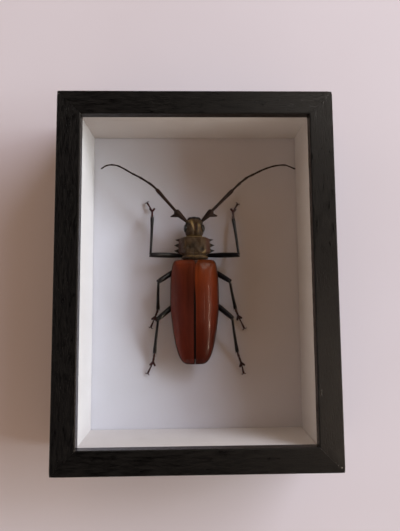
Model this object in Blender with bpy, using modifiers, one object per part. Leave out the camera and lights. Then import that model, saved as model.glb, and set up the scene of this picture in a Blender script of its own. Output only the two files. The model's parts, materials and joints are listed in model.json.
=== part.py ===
"""A large longhorn beetle mounted in a black box frame with a glass front.

The box lies on its back. X runs across the picture, +Y towards the beetle's head and
the picture's top edge, and +Z out of the glass. The origin is under the middle of the
box, on the surface that it lies on. Lengths are in metres.

The beetle has a frame of its own, the empty "beetle_axis": X from the line where its
wing cases meet, Y as in the box, and Z from the top of the card that carries it. The
tables of its sizes are in millimetres of that frame, because that is how an insect is
measured.
"""

import math

import bmesh
import bpy
from mathutils import Matrix, Vector

MM = 0.001
GAP = 0.3 * MM  # between two solids that touch
QUARTER = math.pi / 2

# Box frame
OUTER_WIDTH = 150.0 * MM
OUTER_LENGTH = 202.0 * MM
DEPTH = 45.0 * MM
FACE_WIDTH = 11.8 * MM  # of a rail, seen from the front
WALL = 8.7 * MM  # of a rail, behind the rebate
LIP = 4.8 * MM  # thickness of the lip over the glass
ARRIS = 0.7 * MM  # rounding of a rail's front edges
ARRIS_STEPS = 3
MITRE_GAP = 0.1 * MM

# Stack behind the lip, from the glass back
GLASS = 2.0 * MM
LINER_THICKNESS = 3.0 * MM
CARD_TOP = 7.1 * MM
CARD = 1.4 * MM
BOARD = 2.8 * MM
BOARD_BACK = CARD_TOP - CARD - GAP - BOARD

# Fixing points: flat metal points pushed into slots of the rails
POINT_WIDTH = 5.0 * MM
POINT_THICKNESS = 0.6 * MM
POINT_BURIED = 4.0 * MM
POINT_FREE = 8.0 * MM
POINT_NOSE_STEPS = 6
POINT_SPREAD = 50.0 * MM  # of a long rail's two points, each from the rail's middle
POINT_PLACES = {
    "left": (-POINT_SPREAD, POINT_SPREAD),
    "right": (-POINT_SPREAD, POINT_SPREAD),
    "top": (0.0,),
    "bottom": (0.0,),
}

# Sawtooth hanger
HANGER_LENGTH = 40.0 * MM
HANGER_WIDTH = 9.0 * MM
HANGER_THICKNESS = 0.7 * MM
HANGER_TEETH = 9
TOOTH_PITCH = 2.4 * MM
TOOTH_DEPTH = 1.5 * MM
HANGER_BULGE = 0.8 * MM  # how far its middle stands off the board
HANGER_FROM_TOP = 28.0 * MM
RIVET_RADIUS = 1.4 * MM
RIVET_TAPER = 0.7  # the head's outer radius against its inner one
RIVET_HEIGHT = 0.6 * MM
RIVET_PLACE = 0.41  # of the hanger's length, from its middle

# Beetle
BEETLE_X = -1.0 * MM  # its mid line, from the middle of the box
ELYTRA_BASE_Y = 11.6
ELYTRA_LENGTH = 61.6
SHEET = 0.5  # thickness of a wing case
SUTURE_HALF_GAP = 0.15
TIP_HALF_GAP = 0.7  # where the two rounded tips part
TIP_PARTING_STARTS = 0.93
ELYTRON_ARCH = 0.77  # 1 is a half ellipse across, and less is flatter on top and steeper at the side

# Smooth curves through rows of (share of the length, millimetres), from the base to the tip
ELYTRON_HALF_WIDTH = (
    (0.00, 10.5), (0.015, 11.4), (0.05, 12.4), (0.12, 13.3), (0.25, 13.9), (0.40, 14.1), (0.57, 13.4),
    (0.72, 12.0), (0.85, 10.1), (0.93, 8.3), (0.97, 6.7), (0.99, 5.2), (1.00, 3.4),
)
ELYTRON_CREST = (
    (0.00, 15.2), (0.05, 17.1), (0.25, 18.4), (0.55, 17.8), (0.80, 15.0), (0.94, 11.6), (1.00, 9.4),
)
ELYTRON_MARGIN = ((0.00, 9.6), (0.30, 8.9), (0.80, 8.3), (1.00, 8.2))

SCUTELLUM_NOTCH = (1.55, 3.1)  # half width and length of the notch that it fills, between the wing cases
SCUTELLUM = (1.2, 2.5)  # half width and length of the little shield itself
SCUTELLUM_SETBACK = 0.3
SCUTELLUM_Z = (11.0, 15.0)  # from inside the body up to its front edge
SCUTELLUM_RISE = 0.35  # of its top, for each millimetre towards the tail

UNDERBODY_REACH = 0.91  # of the wing cases' length
UNDERBODY_SETBACK = 0.6
UNDERBODY_INSET = 1.9  # from the margins of the wing cases
UNDERBODY_SINK = 1.5  # of its back, under the crest of the wing cases
UNDERBODY_LIFT = 0.4  # of its widest level, over the margins
BELLY_CLEARANCE = 0.35  # over the card
TAIL_RISE = 3.0
BELLY_KEEL = 2.6  # 1 is an ellipse below, and more draws it to a keel

PRONOTUM_Y = (12.3, 24.5)
PRONOTUM_HALF_WIDTH = (
    (0.00, 6.9), (0.12, 7.2), (0.24, 9.1), (0.35, 9.8), (0.62, 9.6), (0.90, 9.0), (1.00, 8.7),
)
PRONOTUM_Z = (1.6, 9.2, 16.4)  # its lowest line, its widest level and the level of its disc
PRONOTUM_KEEL = 2.2
PRONOTUM_SPINES = ((0.35, 12.7), (0.62, 12.7), (0.90, 12.0))  # (share of the length, reach)
SPINE_RADIUS = 1.1
SPINE_ROOT_DEPTH = 1.6
SPINE_Z = (9.4, 9.1)  # at the root and at the tip
PRONOTUM_RELIEF = (  # (x, y, radius, height): bosses are above 0 and hollows below
    (5.0, 15.2, 2.2, 0.9), (-5.0, 15.2, 2.2, 0.9), (4.6, 21.2, 2.4, 0.8), (-4.6, 21.2, 2.4, 0.8),
    (3.0, 17.8, 1.6, -1.0), (-3.0, 17.8, 1.6, -1.0), (0.0, 19.2, 1.8, 0.6), (0.0, 14.0, 2.4, -0.6),
)

HEAD_Y = (24.8, 36.0)
HEAD_HALF_WIDTH = ((0.00, 5.4), (0.30, 5.5), (0.55, 5.2), (0.70, 4.7), (0.88, 3.8), (1.00, 3.0))
HEAD_CREST = ((0.00, 14.8), (0.35, 15.4), (0.70, 14.2), (1.00, 10.6))
HEAD_FLOOR = ((0.00, 5.2), (0.50, 4.4), (1.00, 5.6))
HEAD_GROOVE = (0.5, 0.9)  # depth and half width of the groove down its middle
# On the right side of the head, the left being its mirror: (centre, radii), and stations of (point, radius)
EYE = ((4.9, 29.4, 10.8), (1.7, 2.5, 3.2))
SOCKET = ((3.7, 32.9, 12.0), (1.5, 1.7, 1.5))
JAW = (
    ((2.7, 33.8, 7.6), 1.3),
    ((2.7, 35.6, 7.0), 1.15),
    ((1.8, 36.6, 6.4), 0.8),
    ((0.3, 37.0, 5.9), 0.4),
)

# Antennae: the scape's tip with its spine's tip, then the ends of the whip's segments
ANTENNAE = {
    "left": {
        "scape": (-11.3, 39.9, 13.4),
        "spine": (-13.9, 36.9, 12.9),
        "joints": (
            (-22.3, 52.8, 13.9), (-27.1, 56.8, 13.4), (-32.4, 60.3, 12.9), (-36.9, 62.8, 12.1),
            (-41.3, 65.6, 11.3), (-45.8, 68.1, 10.4), (-50.2, 68.9, 9.5), (-53.6, 68.4, 8.6),
            (-56.2, 66.9, 7.9),
        ),
    },
    "right": {
        "scape": (10.9, 40.0, 13.4),
        "spine": (13.7, 37.2, 12.9),
        "joints": (
            (23.0, 52.1, 13.9), (27.7, 56.6, 13.4), (31.9, 60.0, 12.9), (36.0, 62.2, 12.1),
            (40.4, 64.6, 11.3), (45.0, 66.7, 10.4), (50.0, 68.3, 9.5), (56.2, 68.9, 8.6),
            (62.2, 66.7, 7.9),
        ),
    },
}
SCAPE_CLEAR_OF_SOCKET = 1.85  # from the socket's centre
SCAPE_STATIONS = ((0.0, 0.75), (0.3, 1.15), (0.75, 1.8), (0.93, 1.65), (1.0, 0.9))  # (share, radius)
SCAPE_SPINE = (0.72, 1.25)  # (share of the scape where it starts, radius)
WHIP_STARTS = 0.88  # share of the scape
WHIP_RADIUS = (1.05, 0.30)  # at its root and at its tip
WHIP_TAPER = 0.45  # the power of the thinning: most of it comes early
SEGMENT_SWELL = 1.28  # how much wider a segment's far end is than its near end
SEGMENT_STATIONS = ((0.12, 1.0), (0.90, SEGMENT_SWELL), (1.0, 0.85))  # (share, radius over the near one)

# Legs: where the thigh leaves the body, the knee, the end of the shin, the fork of the
# foot, and the foot's tip
LEGS = {
    "front_left": (
        (-7.2, 14.3, 3.0), (-26.1, 14.3, 8.4), (-25.6, 38.0, 3.9), (-25.8, 42.3, 2.0), (-29.1, 47.7, 1.1),
    ),
    "front_right": (
        (7.2, 14.3, 3.0), (26.5, 14.0, 8.4), (24.0, 37.0, 3.9), (24.3, 41.9, 2.0), (27.3, 46.8, 1.1),
    ),
    "middle_left": (
        (-8.0, 7.3, 2.6), (-21.3, -1.7, 9.3), (-22.1, -18.3, 3.4), (-24.0, -23.2, 1.9), (-26.6, -29.2, 1.1),
    ),
    "middle_right": (
        (8.0, 6.8, 2.6), (20.9, -1.6, 9.3), (24.7, -18.4, 3.4), (26.6, -23.0, 1.9), (30.2, -30.3, 1.1),
    ),
    "hind_left": (
        (-8.2, -12.5, 2.6), (-21.4, -23.4, 9.3), (-24.1, -44.2, 3.4), (-25.2, -50.0, 1.9),
        (-28.5, -56.6, 1.1),
    ),
    "hind_right": (
        (8.2, -11.5, 2.6), (22.0, -23.3, 9.3), (25.4, -44.1, 3.4), (27.9, -51.0, 1.9), (29.3, -57.1, 1.1),
    ),
}
# Stations along each joint of a leg: (share, radius). A share outside 0 to 1 reaches into the next joint.
THIGH = ((0.0, 0.9), (0.3, 1.45), (0.7, 1.5), (0.97, 1.3), (1.04, 0.7))
SHIN = ((0.0, 0.75), (0.2, 0.75), (0.6, 0.85), (1.0, 1.1))
FOOT = ((-0.1, 0.5), (0.3, 0.75), (0.37, 0.55), (0.7, 0.8), (0.77, 0.6), (1.0, 0.8))
LAST_JOINT = ((-0.1, 0.35), (0.6, 0.4), (0.95, 0.6))
LOBE = {"ahead": 1.9, "aside": 1.7, "behind": 0.6, "parting": 0.2, "lowest": 0.9}
LOBE_RADII = (0.45, 0.65, 0.4)
CLAW = {"aside": 1.5, "back": 0.2, "behind": 0.4, "stagger": 0.1, "parting": 0.12, "height": 0.55}
CLAW_RADIUS = 0.38

LIMB_SIDES = 8
SPIKE_SIDES = 6
SPIKE_TIP = 0.08  # radius


def linear(hex_colour):
    """Linear red, green and blue of an sRGB colour such as "3F1913"."""
    def channel(pair):
        value = int(pair, 16) / 255
        return value / 12.92 if value <= 0.04045 else ((value + 0.055) / 1.055) ** 2.4
    return tuple(channel(hex_colour[i : i + 2]) for i in (0, 2, 4))


def finish(name, hex_colour, roughness, metallic=0.0, transmission=0.0):
    """A Principled material of one colour."""
    material = bpy.data.materials.new(name)
    material.use_nodes = True
    shader = material.node_tree.nodes["Principled BSDF"]
    shader.inputs["Base Color"].default_value = (*linear(hex_colour), 1)
    shader.inputs["Roughness"].default_value = roughness
    shader.inputs["Metallic"].default_value = metallic
    shader.inputs["Transmission Weight"].default_value = transmission
    material.diffuse_color = (*linear(hex_colour), 1)
    return material


def curve_value(rows, share):
    """Height at share of the smooth curve through rows of (share, height), without overshoot."""
    slopes = [(b[1] - a[1]) / (b[0] - a[0]) for a, b in zip(rows, rows[1:])]
    share = min(max(share, rows[0][0]), rows[-1][0])
    i = max(k for k in range(len(slopes)) if rows[k][0] <= share)

    def tangent(k):
        if k in (0, len(slopes)):
            return slopes[min(k, len(slopes) - 1)]
        before, after = slopes[k - 1], slopes[k]
        return 0.0 if before * after <= 0 else 2 * before * after / (before + after)

    span = rows[i + 1][0] - rows[i][0]
    t = (share - rows[i][0]) / span
    start, end = rows[i][1], rows[i + 1][1]
    return (
        start * (1 + 2 * t) * (1 - t) ** 2
        + end * t * t * (3 - 2 * t)
        + span * (tangent(i) * t * (1 - t) ** 2 - tangent(i + 1) * t * t * (1 - t))
    )


def signed_power(value, exponent):
    """The power of a number's size, with the number's own sign."""
    return math.copysign(abs(value) ** exponent, value)


class Workshop:
    """The collections and the parent that the pieces are made in."""

    def __init__(self):
        self.parts = self.new_collection("framed_beetle")
        self.cutters = self.new_collection("cutters")
        self.cutters.hide_render = True
        self.beetle_axis = bpy.data.objects.new("beetle_axis", None)
        self.beetle_axis.location = (BEETLE_X, 0, CARD_TOP)
        self.parts.objects.link(self.beetle_axis)

    @staticmethod
    def new_collection(name):
        collection = bpy.data.collections.new(name)
        bpy.context.scene.collection.children.link(collection)
        return collection

    def add(self, name, mesh, material, parent=None, smooth_angle=40):
        """A visible piece from a mesh."""
        piece = bpy.data.objects.new(name, mesh)
        piece.parent = parent
        mesh.materials.append(material)
        mesh.shade_smooth()
        mesh.set_sharp_from_angle(angle=math.radians(smooth_angle))
        self.parts.objects.link(piece)
        return piece

    def boolean(self, piece, tool, operation):
        """Adds tool to piece or cuts it away, and hides tool among the cutters."""
        step = piece.modifiers.new(tool.name, "BOOLEAN")
        step.operation = operation
        step.solver = "EXACT"
        step.object = tool
        self.parts.objects.unlink(tool)
        self.cutters.objects.link(tool)
        tool.hide_render = True
        tool.display_type = "WIRE"


def mesh_from(name, bm):
    """A mesh with its faces pointing out, from a bmesh, which is freed."""
    bmesh.ops.recalc_face_normals(bm, faces=bm.faces)
    mesh = bpy.data.meshes.new(name)
    bm.to_mesh(mesh)
    bm.free()
    return mesh


def box_mesh(name, low, high):
    """A box between two corners."""
    low, high = Vector(low), Vector(high)
    place = Matrix.Translation((low + high) / 2) @ Matrix.Diagonal((*(high - low), 1))
    bm = bmesh.new()
    bmesh.ops.create_cube(bm, size=1.0, matrix=place)
    return mesh_from(name, bm)


def mesh_of_curve(name, curve):
    """The welded mesh of a curve."""
    holder = bpy.data.objects.new(name + "_curve", curve)
    bpy.context.scene.collection.objects.link(holder)
    graph = bpy.context.evaluated_depsgraph_get()
    loose = bpy.data.meshes.new_from_object(holder.evaluated_get(graph))
    bpy.data.objects.remove(holder)
    bm = bmesh.new()
    bm.from_mesh(loose)
    bmesh.ops.remove_doubles(bm, verts=bm.verts, dist=0.001 * MM)
    return mesh_from(name, bm)


def outline_mesh(name, outline, low_z, high_z):
    """A flat outline with a thickness."""
    curve = bpy.data.curves.new(name, "CURVE")
    curve.dimensions = "2D"
    curve.fill_mode = "BOTH"
    curve.extrude = (high_z - low_z) / 2
    spline = curve.splines.new("POLY")
    spline.points.add(len(outline) - 1)
    for point, (x, y) in zip(spline.points, outline):
        point.co = (x, y, 0, 1)
    spline.use_cyclic_u = True
    mesh = mesh_of_curve(name, curve)
    mesh.transform(Matrix.Translation((0, 0, (low_z + high_z) / 2)))
    return mesh


def limb_mesh(name, stations):
    """A round limb through (point, radius) stations, both in millimetres."""
    curve = bpy.data.curves.new(name, "CURVE")
    curve.dimensions = "3D"
    curve.bevel_depth = MM
    curve.bevel_resolution = LIMB_SIDES // 2 - 2
    curve.use_fill_caps = True
    spline = curve.splines.new("POLY")
    spline.points.add(len(stations) - 1)
    for station, (point, radius) in zip(spline.points, stations):
        station.co = (*(Vector(point) * MM), 1)
        station.radius = radius
    return mesh_of_curve(name, curve)


def stations_between(start, end, rows):
    """Limb stations from rows of (share of the way, radius)."""
    return [(start.lerp(end, share), radius) for share, radius in rows]


def body_mesh(name, around, along, shape):
    """A closed body of one skin: shape(share, angle) places the points of a sphere's rings."""
    bm = bmesh.new()
    bmesh.ops.create_uvsphere(bm, u_segments=around, v_segments=along, radius=1.0)
    for vertex in bm.verts:
        share = math.acos(max(-1.0, min(1.0, vertex.co.z))) / math.pi
        vertex.co = shape(share, math.atan2(vertex.co.y, vertex.co.x))
    return mesh_from(name, bm)


def ring(share, crowding, bluntness):
    """Where a ring stands along a body and how full it is, 0 to 1; small powers give square ends."""
    along = 0.5 - 0.5 * signed_power(math.cos(math.pi * share), crowding)
    fullness = math.sin(math.pi * share) ** bluntness if 0 < share < 1 else 0.0
    return along, fullness


def ball_mesh(name, centre, radii, around=10, along=6):
    """An egg-shaped solid, its centre and radii in millimetres."""
    place = Matrix.Translation(Vector(centre) * MM) @ Matrix.Diagonal((*(Vector(radii) * MM), 1))
    bm = bmesh.new()
    bmesh.ops.create_uvsphere(bm, u_segments=around, v_segments=along, radius=1.0, matrix=place)
    return mesh_from(name, bm)


def spike_mesh(name, root, tip, radius):
    """A pointed cone from root to tip, in millimetres."""
    root, tip = Vector(root) * MM, Vector(tip) * MM
    reach = tip - root
    turn = reach.to_track_quat("Z", "Y").to_matrix().to_4x4()
    bm = bmesh.new()
    bmesh.ops.create_cone(
        bm, cap_ends=True, segments=SPIKE_SIDES, radius1=radius * MM, radius2=SPIKE_TIP * MM,
        depth=reach.length, matrix=Matrix.Translation((root + tip) / 2) @ turn,
    )
    return mesh_from(name, bm)


# Box frame


def rail_profile():
    """The moulding's section as (inwards, up) points, from its outer back edge."""
    def arris(corner, start):
        centre = (corner[0] + math.copysign(ARRIS, FACE_WIDTH / 2 - corner[0]), corner[1] - ARRIS)
        turns = [math.radians(start - 90 * k / ARRIS_STEPS) for k in range(ARRIS_STEPS + 1)]
        return [(centre[0] + ARRIS * math.cos(a), centre[1] + ARRIS * math.sin(a)) for a in turns]

    return [
        (0, 0),
        *arris((0, DEPTH), 180),
        *arris((FACE_WIDTH, DEPTH), 90),
        (FACE_WIDTH, DEPTH - LIP),
        (WALL, DEPTH - LIP),
        (WALL, 0),
    ]


def rail_mesh(name, length):
    """One rail along X, its outer face on Y = 0, with both ends mitred."""
    half = length / 2 - MITRE_GAP / 2 * math.sqrt(2)
    bm = bmesh.new()
    section = [bm.verts.new((inwards - half, inwards, up)) for inwards, up in rail_profile()]
    swept = bmesh.ops.extrude_face_region(bm, geom=[bm.faces.new(section)])
    for vertex in swept["geom"]:
        if isinstance(vertex, bmesh.types.BMVert):
            vertex.co.x = -vertex.co.x
    return mesh_from(name, bm)


def sides_of_box():
    """(name, rail length, place of the middle of its outer face) for each rail; the rail's +Y is inwards."""
    def place(x, y, quarters):
        return Matrix.Translation((x, y, 0)) @ Matrix.Rotation(quarters * QUARTER, 4, "Z")

    return (
        ("bottom", OUTER_WIDTH, place(0, -OUTER_LENGTH / 2, 0)),
        ("right", OUTER_LENGTH, place(OUTER_WIDTH / 2, 0, 1)),
        ("top", OUTER_WIDTH, place(0, OUTER_LENGTH / 2, 2)),
        ("left", OUTER_LENGTH, place(-OUTER_WIDTH / 2, 0, -1)),
    )


def point_outline(place):
    """A fixing point's plan, from its buried end to its rounded free end."""
    half, start, end = POINT_WIDTH / 2, WALL - POINT_BURIED, WALL + POINT_FREE
    nose = [math.pi * k / POINT_NOSE_STEPS for k in range(POINT_NOSE_STEPS + 1)]
    return [(place - half, start), (place + half, start)] + [
        (place + half * math.cos(a), end - half + half * math.sin(a)) for a in nose
    ]


def build_rails(shop, black, steel):
    """The four rails with their slots, and the metal points in the slots."""
    top = BOARD_BACK - GAP
    base = top - POINT_THICKNESS
    slot_half = POINT_WIDTH / 2 + GAP
    count = 0
    for side, length, place in sides_of_box():
        rail = shop.add("rail_" + side, rail_mesh("rail_" + side, length), black)
        rail.matrix_world = place
        for x in POINT_PLACES[side]:
            count += 1
            low = (x - slot_half, WALL - POINT_BURIED - GAP, base - GAP)
            high = (x + slot_half, WALL + MM, top + GAP)
            slot = shop.add(f"slot_cutter_{count}", box_mesh("slot_cutter", low, high), black)
            slot.matrix_world = place
            shop.boolean(rail, slot, "DIFFERENCE")
            plate = outline_mesh("fixing_point", point_outline(x), base, top)
            point = shop.add(f"fixing_point_{count}", plate, steel)
            point.matrix_world = place


def build_filling(shop, glass, white, card, board):
    """The glass, the liner strips, the card and the board, from front to back."""
    half_x = OUTER_WIDTH / 2 - WALL - GAP
    half_y = OUTER_LENGTH / 2 - WALL - GAP
    glass_top = DEPTH - LIP - GAP
    liner_top = glass_top - GLASS - GAP
    liner_base = CARD_TOP + GAP
    sheets = (
        ("glass_pane", glass_top - GLASS, glass_top, glass),
        ("mounting_card", CARD_TOP - CARD, CARD_TOP, card),
        ("back_board", BOARD_BACK, BOARD_BACK + BOARD, board),
    )
    for name, low, high, material in sheets:
        shop.add(name, box_mesh(name, (-half_x, -half_y, low), (half_x, half_y, high)), material)
    end = half_x - LINER_THICKNESS - GAP
    inner_x, inner_y = half_x - LINER_THICKNESS, half_y - LINER_THICKNESS
    strips = (
        ("liner_left", (-half_x, -half_y), (-inner_x, half_y)),
        ("liner_right", (inner_x, -half_y), (half_x, half_y)),
        ("liner_bottom", (-end, -half_y), (end, -inner_y)),
        ("liner_top", (-end, inner_y), (end, half_y)),
    )
    for name, low, high in strips:
        shop.add(name, box_mesh(name, (*low, liner_base), (*high, liner_top)), white)


def hanger_outline():
    """The hanger's plan: straight above, and a row of teeth below."""
    teeth = HANGER_TEETH * TOOTH_PITCH / 2
    lower = [(-HANGER_LENGTH / 2, 0)]
    for k in range(HANGER_TEETH):
        start = -teeth + k * TOOTH_PITCH
        lower += [(start, 0), (start + TOOTH_PITCH / 2, TOOTH_DEPTH)]
    lower += [(teeth, 0), (HANGER_LENGTH / 2, 0)]
    return lower + [(x, HANGER_WIDTH) for x, _ in reversed(lower)]


def build_hanger(shop, steel):
    """A sawtooth hanger on the board: a thin plate that stands off the board in the middle, and two rivets."""
    top = BOARD_BACK - GAP
    low = top - HANGER_THICKNESS
    mesh = outline_mesh("hanger", hanger_outline(), low, top)
    bulge_half = HANGER_TEETH * TOOTH_PITCH / 2 + TOOTH_PITCH
    for vertex in mesh.vertices:
        inward = 1 - min(abs(vertex.co.x) / bulge_half, 1)
        vertex.co.z -= HANGER_BULGE * math.sin(QUARTER * min(1, 3 * inward))
    hanger = shop.add("hanger", mesh, steel)
    hanger.location.y = OUTER_LENGTH / 2 - HANGER_FROM_TOP - HANGER_WIDTH
    for side, sign in (("left", -1), ("right", 1)):
        bm = bmesh.new()
        bmesh.ops.create_cone(
            bm, cap_ends=True, segments=12, radius1=RIVET_RADIUS * RIVET_TAPER, radius2=RIVET_RADIUS,
            depth=RIVET_HEIGHT + HANGER_THICKNESS / 2,
        )
        rivet = shop.add("rivet_" + side, mesh_from("rivet", bm), steel)
        offset = (sign * HANGER_LENGTH * RIVET_PLACE, HANGER_WIDTH / 2, low - RIVET_HEIGHT / 4)
        rivet.location = hanger.location + Vector(offset)
        shop.boolean(hanger, rivet, "UNION")


# Beetle


def elytra_inner_edge(share):
    """Distance of a wing case's inner edge from the middle line: wide at the scutellum, and at the tip."""
    half_width, length = SCUTELLUM_NOTCH
    notch = half_width * (1 - share * ELYTRA_LENGTH / length)
    parting = max(0.0, (share - TIP_PARTING_STARTS) / (1 - TIP_PARTING_STARTS)) ** 2
    return max(notch, SUTURE_HALF_GAP + (TIP_HALF_GAP - SUTURE_HALF_GAP) * parting)


def elytron_point(share, angle):
    """A point of the right wing case's outer skin: angle 0 is the inner edge and a quarter turn the margin."""
    half_width = curve_value(ELYTRON_HALF_WIDTH, share)
    crest = curve_value(ELYTRON_CREST, share)
    margin = curve_value(ELYTRON_MARGIN, share)
    inner = elytra_inner_edge(share)
    x = inner + (half_width - inner) * math.sin(angle) ** ELYTRON_ARCH
    return x, ELYTRA_BASE_Y - share * ELYTRA_LENGTH, margin + (crest - margin) * math.cos(angle)


def elytron_mesh(name, sign, around=10, along=22):
    """One wing case as an open sheet; sign is -1 for the left one and 1 for the right."""
    bm = bmesh.new()
    bmesh.ops.create_grid(bm, x_segments=around, y_segments=along, size=0.5)
    for vertex in bm.verts:
        turn, row = vertex.co.x + 0.5, vertex.co.y + 0.5
        share = (1 - math.cos(math.pi * row)) / 2
        x, y, z = elytron_point(share, turn * QUARTER)
        vertex.co = Vector((sign * x, y, z)) * MM
    mesh = mesh_from(name, bm)
    if sum(polygon.normal.z for polygon in mesh.polygons) < 0:
        mesh.flip_normals()
    return mesh


def underbody_shape(share, angle):
    """Thorax and abdomen: full under the wing cases, keeled below, tapering to the tail."""
    along, fullness = ring(share, 0.75, 0.35)
    place = along * UNDERBODY_REACH
    level = curve_value(ELYTRON_MARGIN, place) + UNDERBODY_LIFT
    half_width = (curve_value(ELYTRON_HALF_WIDTH, place) - UNDERBODY_INSET) * fullness
    rise = (curve_value(ELYTRON_CREST, place) - level - UNDERBODY_SINK) * fullness
    drop = (level - BELLY_CLEARANCE - TAIL_RISE * place ** 2) * fullness
    x = half_width * signed_power(math.cos(angle), 0.8)
    y = ELYTRA_BASE_Y - UNDERBODY_SETBACK - place * ELYTRA_LENGTH
    if math.sin(angle) >= 0:
        return Vector((x, y, level + rise * math.sin(angle))) * MM
    return Vector((x, y, level - drop * abs(math.sin(angle)) ** BELLY_KEEL)) * MM


def scutellum_mesh():
    """The little three-cornered shield between the wing cases' bases, its top sloping up towards the tail."""
    half_width, length = SCUTELLUM
    front = ELYTRA_BASE_Y - SCUTELLUM_SETBACK
    outline = [(-half_width * MM, front * MM), (half_width * MM, front * MM), (0, (front - length) * MM)]
    low, high = (z * MM for z in SCUTELLUM_Z)
    mesh = outline_mesh("scutellum", outline, low, high)
    for vertex in mesh.vertices:
        if vertex.co.z > (low + high) / 2:
            vertex.co.z += SCUTELLUM_RISE * (front * MM - vertex.co.y)
    return mesh


def relief(x, y):
    """Height that the bosses and hollows add to the pronotum's top."""
    return sum(h * math.exp(-((x - u) ** 2 + (y - v) ** 2) / r ** 2) for u, v, r, h in PRONOTUM_RELIEF)


def pronotum_shape(share, angle):
    """The neck shield: broad, square-ended, arched across, with bosses on its top."""
    along, fullness = ring(share, 0.6, 0.08)
    start, end = PRONOTUM_Y
    lowest, level, disc = PRONOTUM_Z
    y = start + along * (end - start)
    x = curve_value(PRONOTUM_HALF_WIDTH, along) * fullness * signed_power(math.cos(angle), 0.8)
    up = math.sin(angle)
    if up < 0:
        return Vector((x, y, level - (level - lowest) * fullness * abs(up) ** PRONOTUM_KEEL)) * MM
    rise = (disc - level) * up ** 0.85 + relief(x, y) * up
    return Vector((x, y, level + rise * fullness)) * MM


def head_shape(share, angle):
    """The head capsule: from the neck, past the eyes, down to the front of the face."""
    along, fullness = ring(share, 0.7, 0.2)
    start, end = HEAD_Y
    crest, floor = curve_value(HEAD_CREST, along), curve_value(HEAD_FLOOR, along)
    up = signed_power(math.sin(angle), 0.9)
    x = curve_value(HEAD_HALF_WIDTH, along) * fullness * signed_power(math.cos(angle), 0.85)
    depth, spread = HEAD_GROOVE
    groove = depth * math.exp(-((x / spread) ** 2)) * max(up, 0)
    z = (crest + floor) / 2 + (crest - floor) / 2 * fullness * up - groove
    return Vector((x, start + along * (end - start), z)) * MM


def mirrored(point, sign):
    """The point, or its mirror across the middle line where sign is -1."""
    return (sign * point[0], *point[1:])


def build_wing_cases(shop, red_brown):
    """The two wing cases, each a domed sheet with its thickness inwards."""
    for side, sign in (("left", -1), ("right", 1)):
        mesh = elytron_mesh("elytron_" + side, sign)
        case = shop.add("elytron_" + side, mesh, red_brown, shop.beetle_axis)
        sheet = case.modifiers.new("sheet", "SOLIDIFY")
        sheet.thickness = SHEET * MM
        sheet.offset = -1


def build_trunk(shop, brown, black):
    """Underbody with its scutellum, pronotum with its spines, and head with its eyes, jaws and sockets."""
    axis = shop.beetle_axis
    underbody = shop.add("underbody", body_mesh("underbody", 18, 16, underbody_shape), black, axis)
    shop.boolean(underbody, shop.add("scutellum", scutellum_mesh(), brown, axis), "UNION")

    pronotum = shop.add("pronotum", body_mesh("pronotum", 24, 16, pronotum_shape), brown, axis)
    start, end = PRONOTUM_Y
    for row, (share, reach) in enumerate(PRONOTUM_SPINES):
        y = start + share * (end - start)
        inner = curve_value(PRONOTUM_HALF_WIDTH, share) - SPINE_ROOT_DEPTH
        for side, sign in (("left", -1), ("right", 1)):
            root, tip = (sign * inner, y, SPINE_Z[0]), (sign * reach, y, SPINE_Z[1])
            spine = spike_mesh("spine", root, tip, SPINE_RADIUS)
            shop.boolean(pronotum, shop.add(f"spine_{side}_{row}", spine, brown, axis), "UNION")

    head = shop.add("head", body_mesh("head", 20, 14, head_shape), brown, axis)
    for side, sign in (("left", -1), ("right", 1)):
        jaw_line = [(mirrored(point, sign), radius) for point, radius in JAW]
        details = (
            ("eye_", ball_mesh("eye", mirrored(EYE[0], sign), EYE[1])),
            ("jaw_", limb_mesh("jaw", jaw_line)),
            ("socket_", ball_mesh("socket", mirrored(SOCKET[0], sign), SOCKET[1])),
        )
        for name, mesh in details:
            shop.boolean(head, shop.add(name + side, mesh, black, axis), "UNION")


def whip_stations(joints):
    """Stations of a whip whose segments each swell towards their far end."""
    lengths = [(b - a).length for a, b in zip(joints, joints[1:])]
    total = sum(lengths)
    thick, thin = WHIP_RADIUS
    run = 0.0
    stations = [(joints[0], thick * 0.8)]
    for start, end, length in zip(joints, joints[1:], lengths):
        near = thick + (thin - thick) * ((run + 0.3 * length) / total) ** WHIP_TAPER
        rows = [(share, near * factor) for share, factor in SEGMENT_STATIONS]
        stations += stations_between(start, end, rows)
        run += length
    return stations


def build_antennae(shop, dark_brown):
    """Each antenna: a clubbed scape with a spine at its end, then the jointed whip."""
    axis = shop.beetle_axis
    for side, sign in (("left", -1), ("right", 1)):
        shape = ANTENNAE[side]
        socket, tip = Vector(mirrored(SOCKET[0], sign)), Vector(shape["scape"])
        root = socket + (tip - socket).normalized() * SCAPE_CLEAR_OF_SOCKET
        scape = limb_mesh("antenna_" + side, stations_between(root, tip, SCAPE_STATIONS))
        antenna = shop.add("antenna_" + side, scape, dark_brown, axis)
        joints = [root.lerp(tip, WHIP_STARTS), *(Vector(joint) for joint in shape["joints"])]
        spine_starts, spine_radius = SCAPE_SPINE
        spine = spike_mesh("scape_spine", root.lerp(tip, spine_starts), shape["spine"], spine_radius)
        whip = limb_mesh("whip", whip_stations(joints))
        for name, mesh in (("scape_spine_", spine), ("whip_", whip)):
            shop.boolean(antenna, shop.add(name + side, mesh, dark_brown, axis), "UNION")


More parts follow.
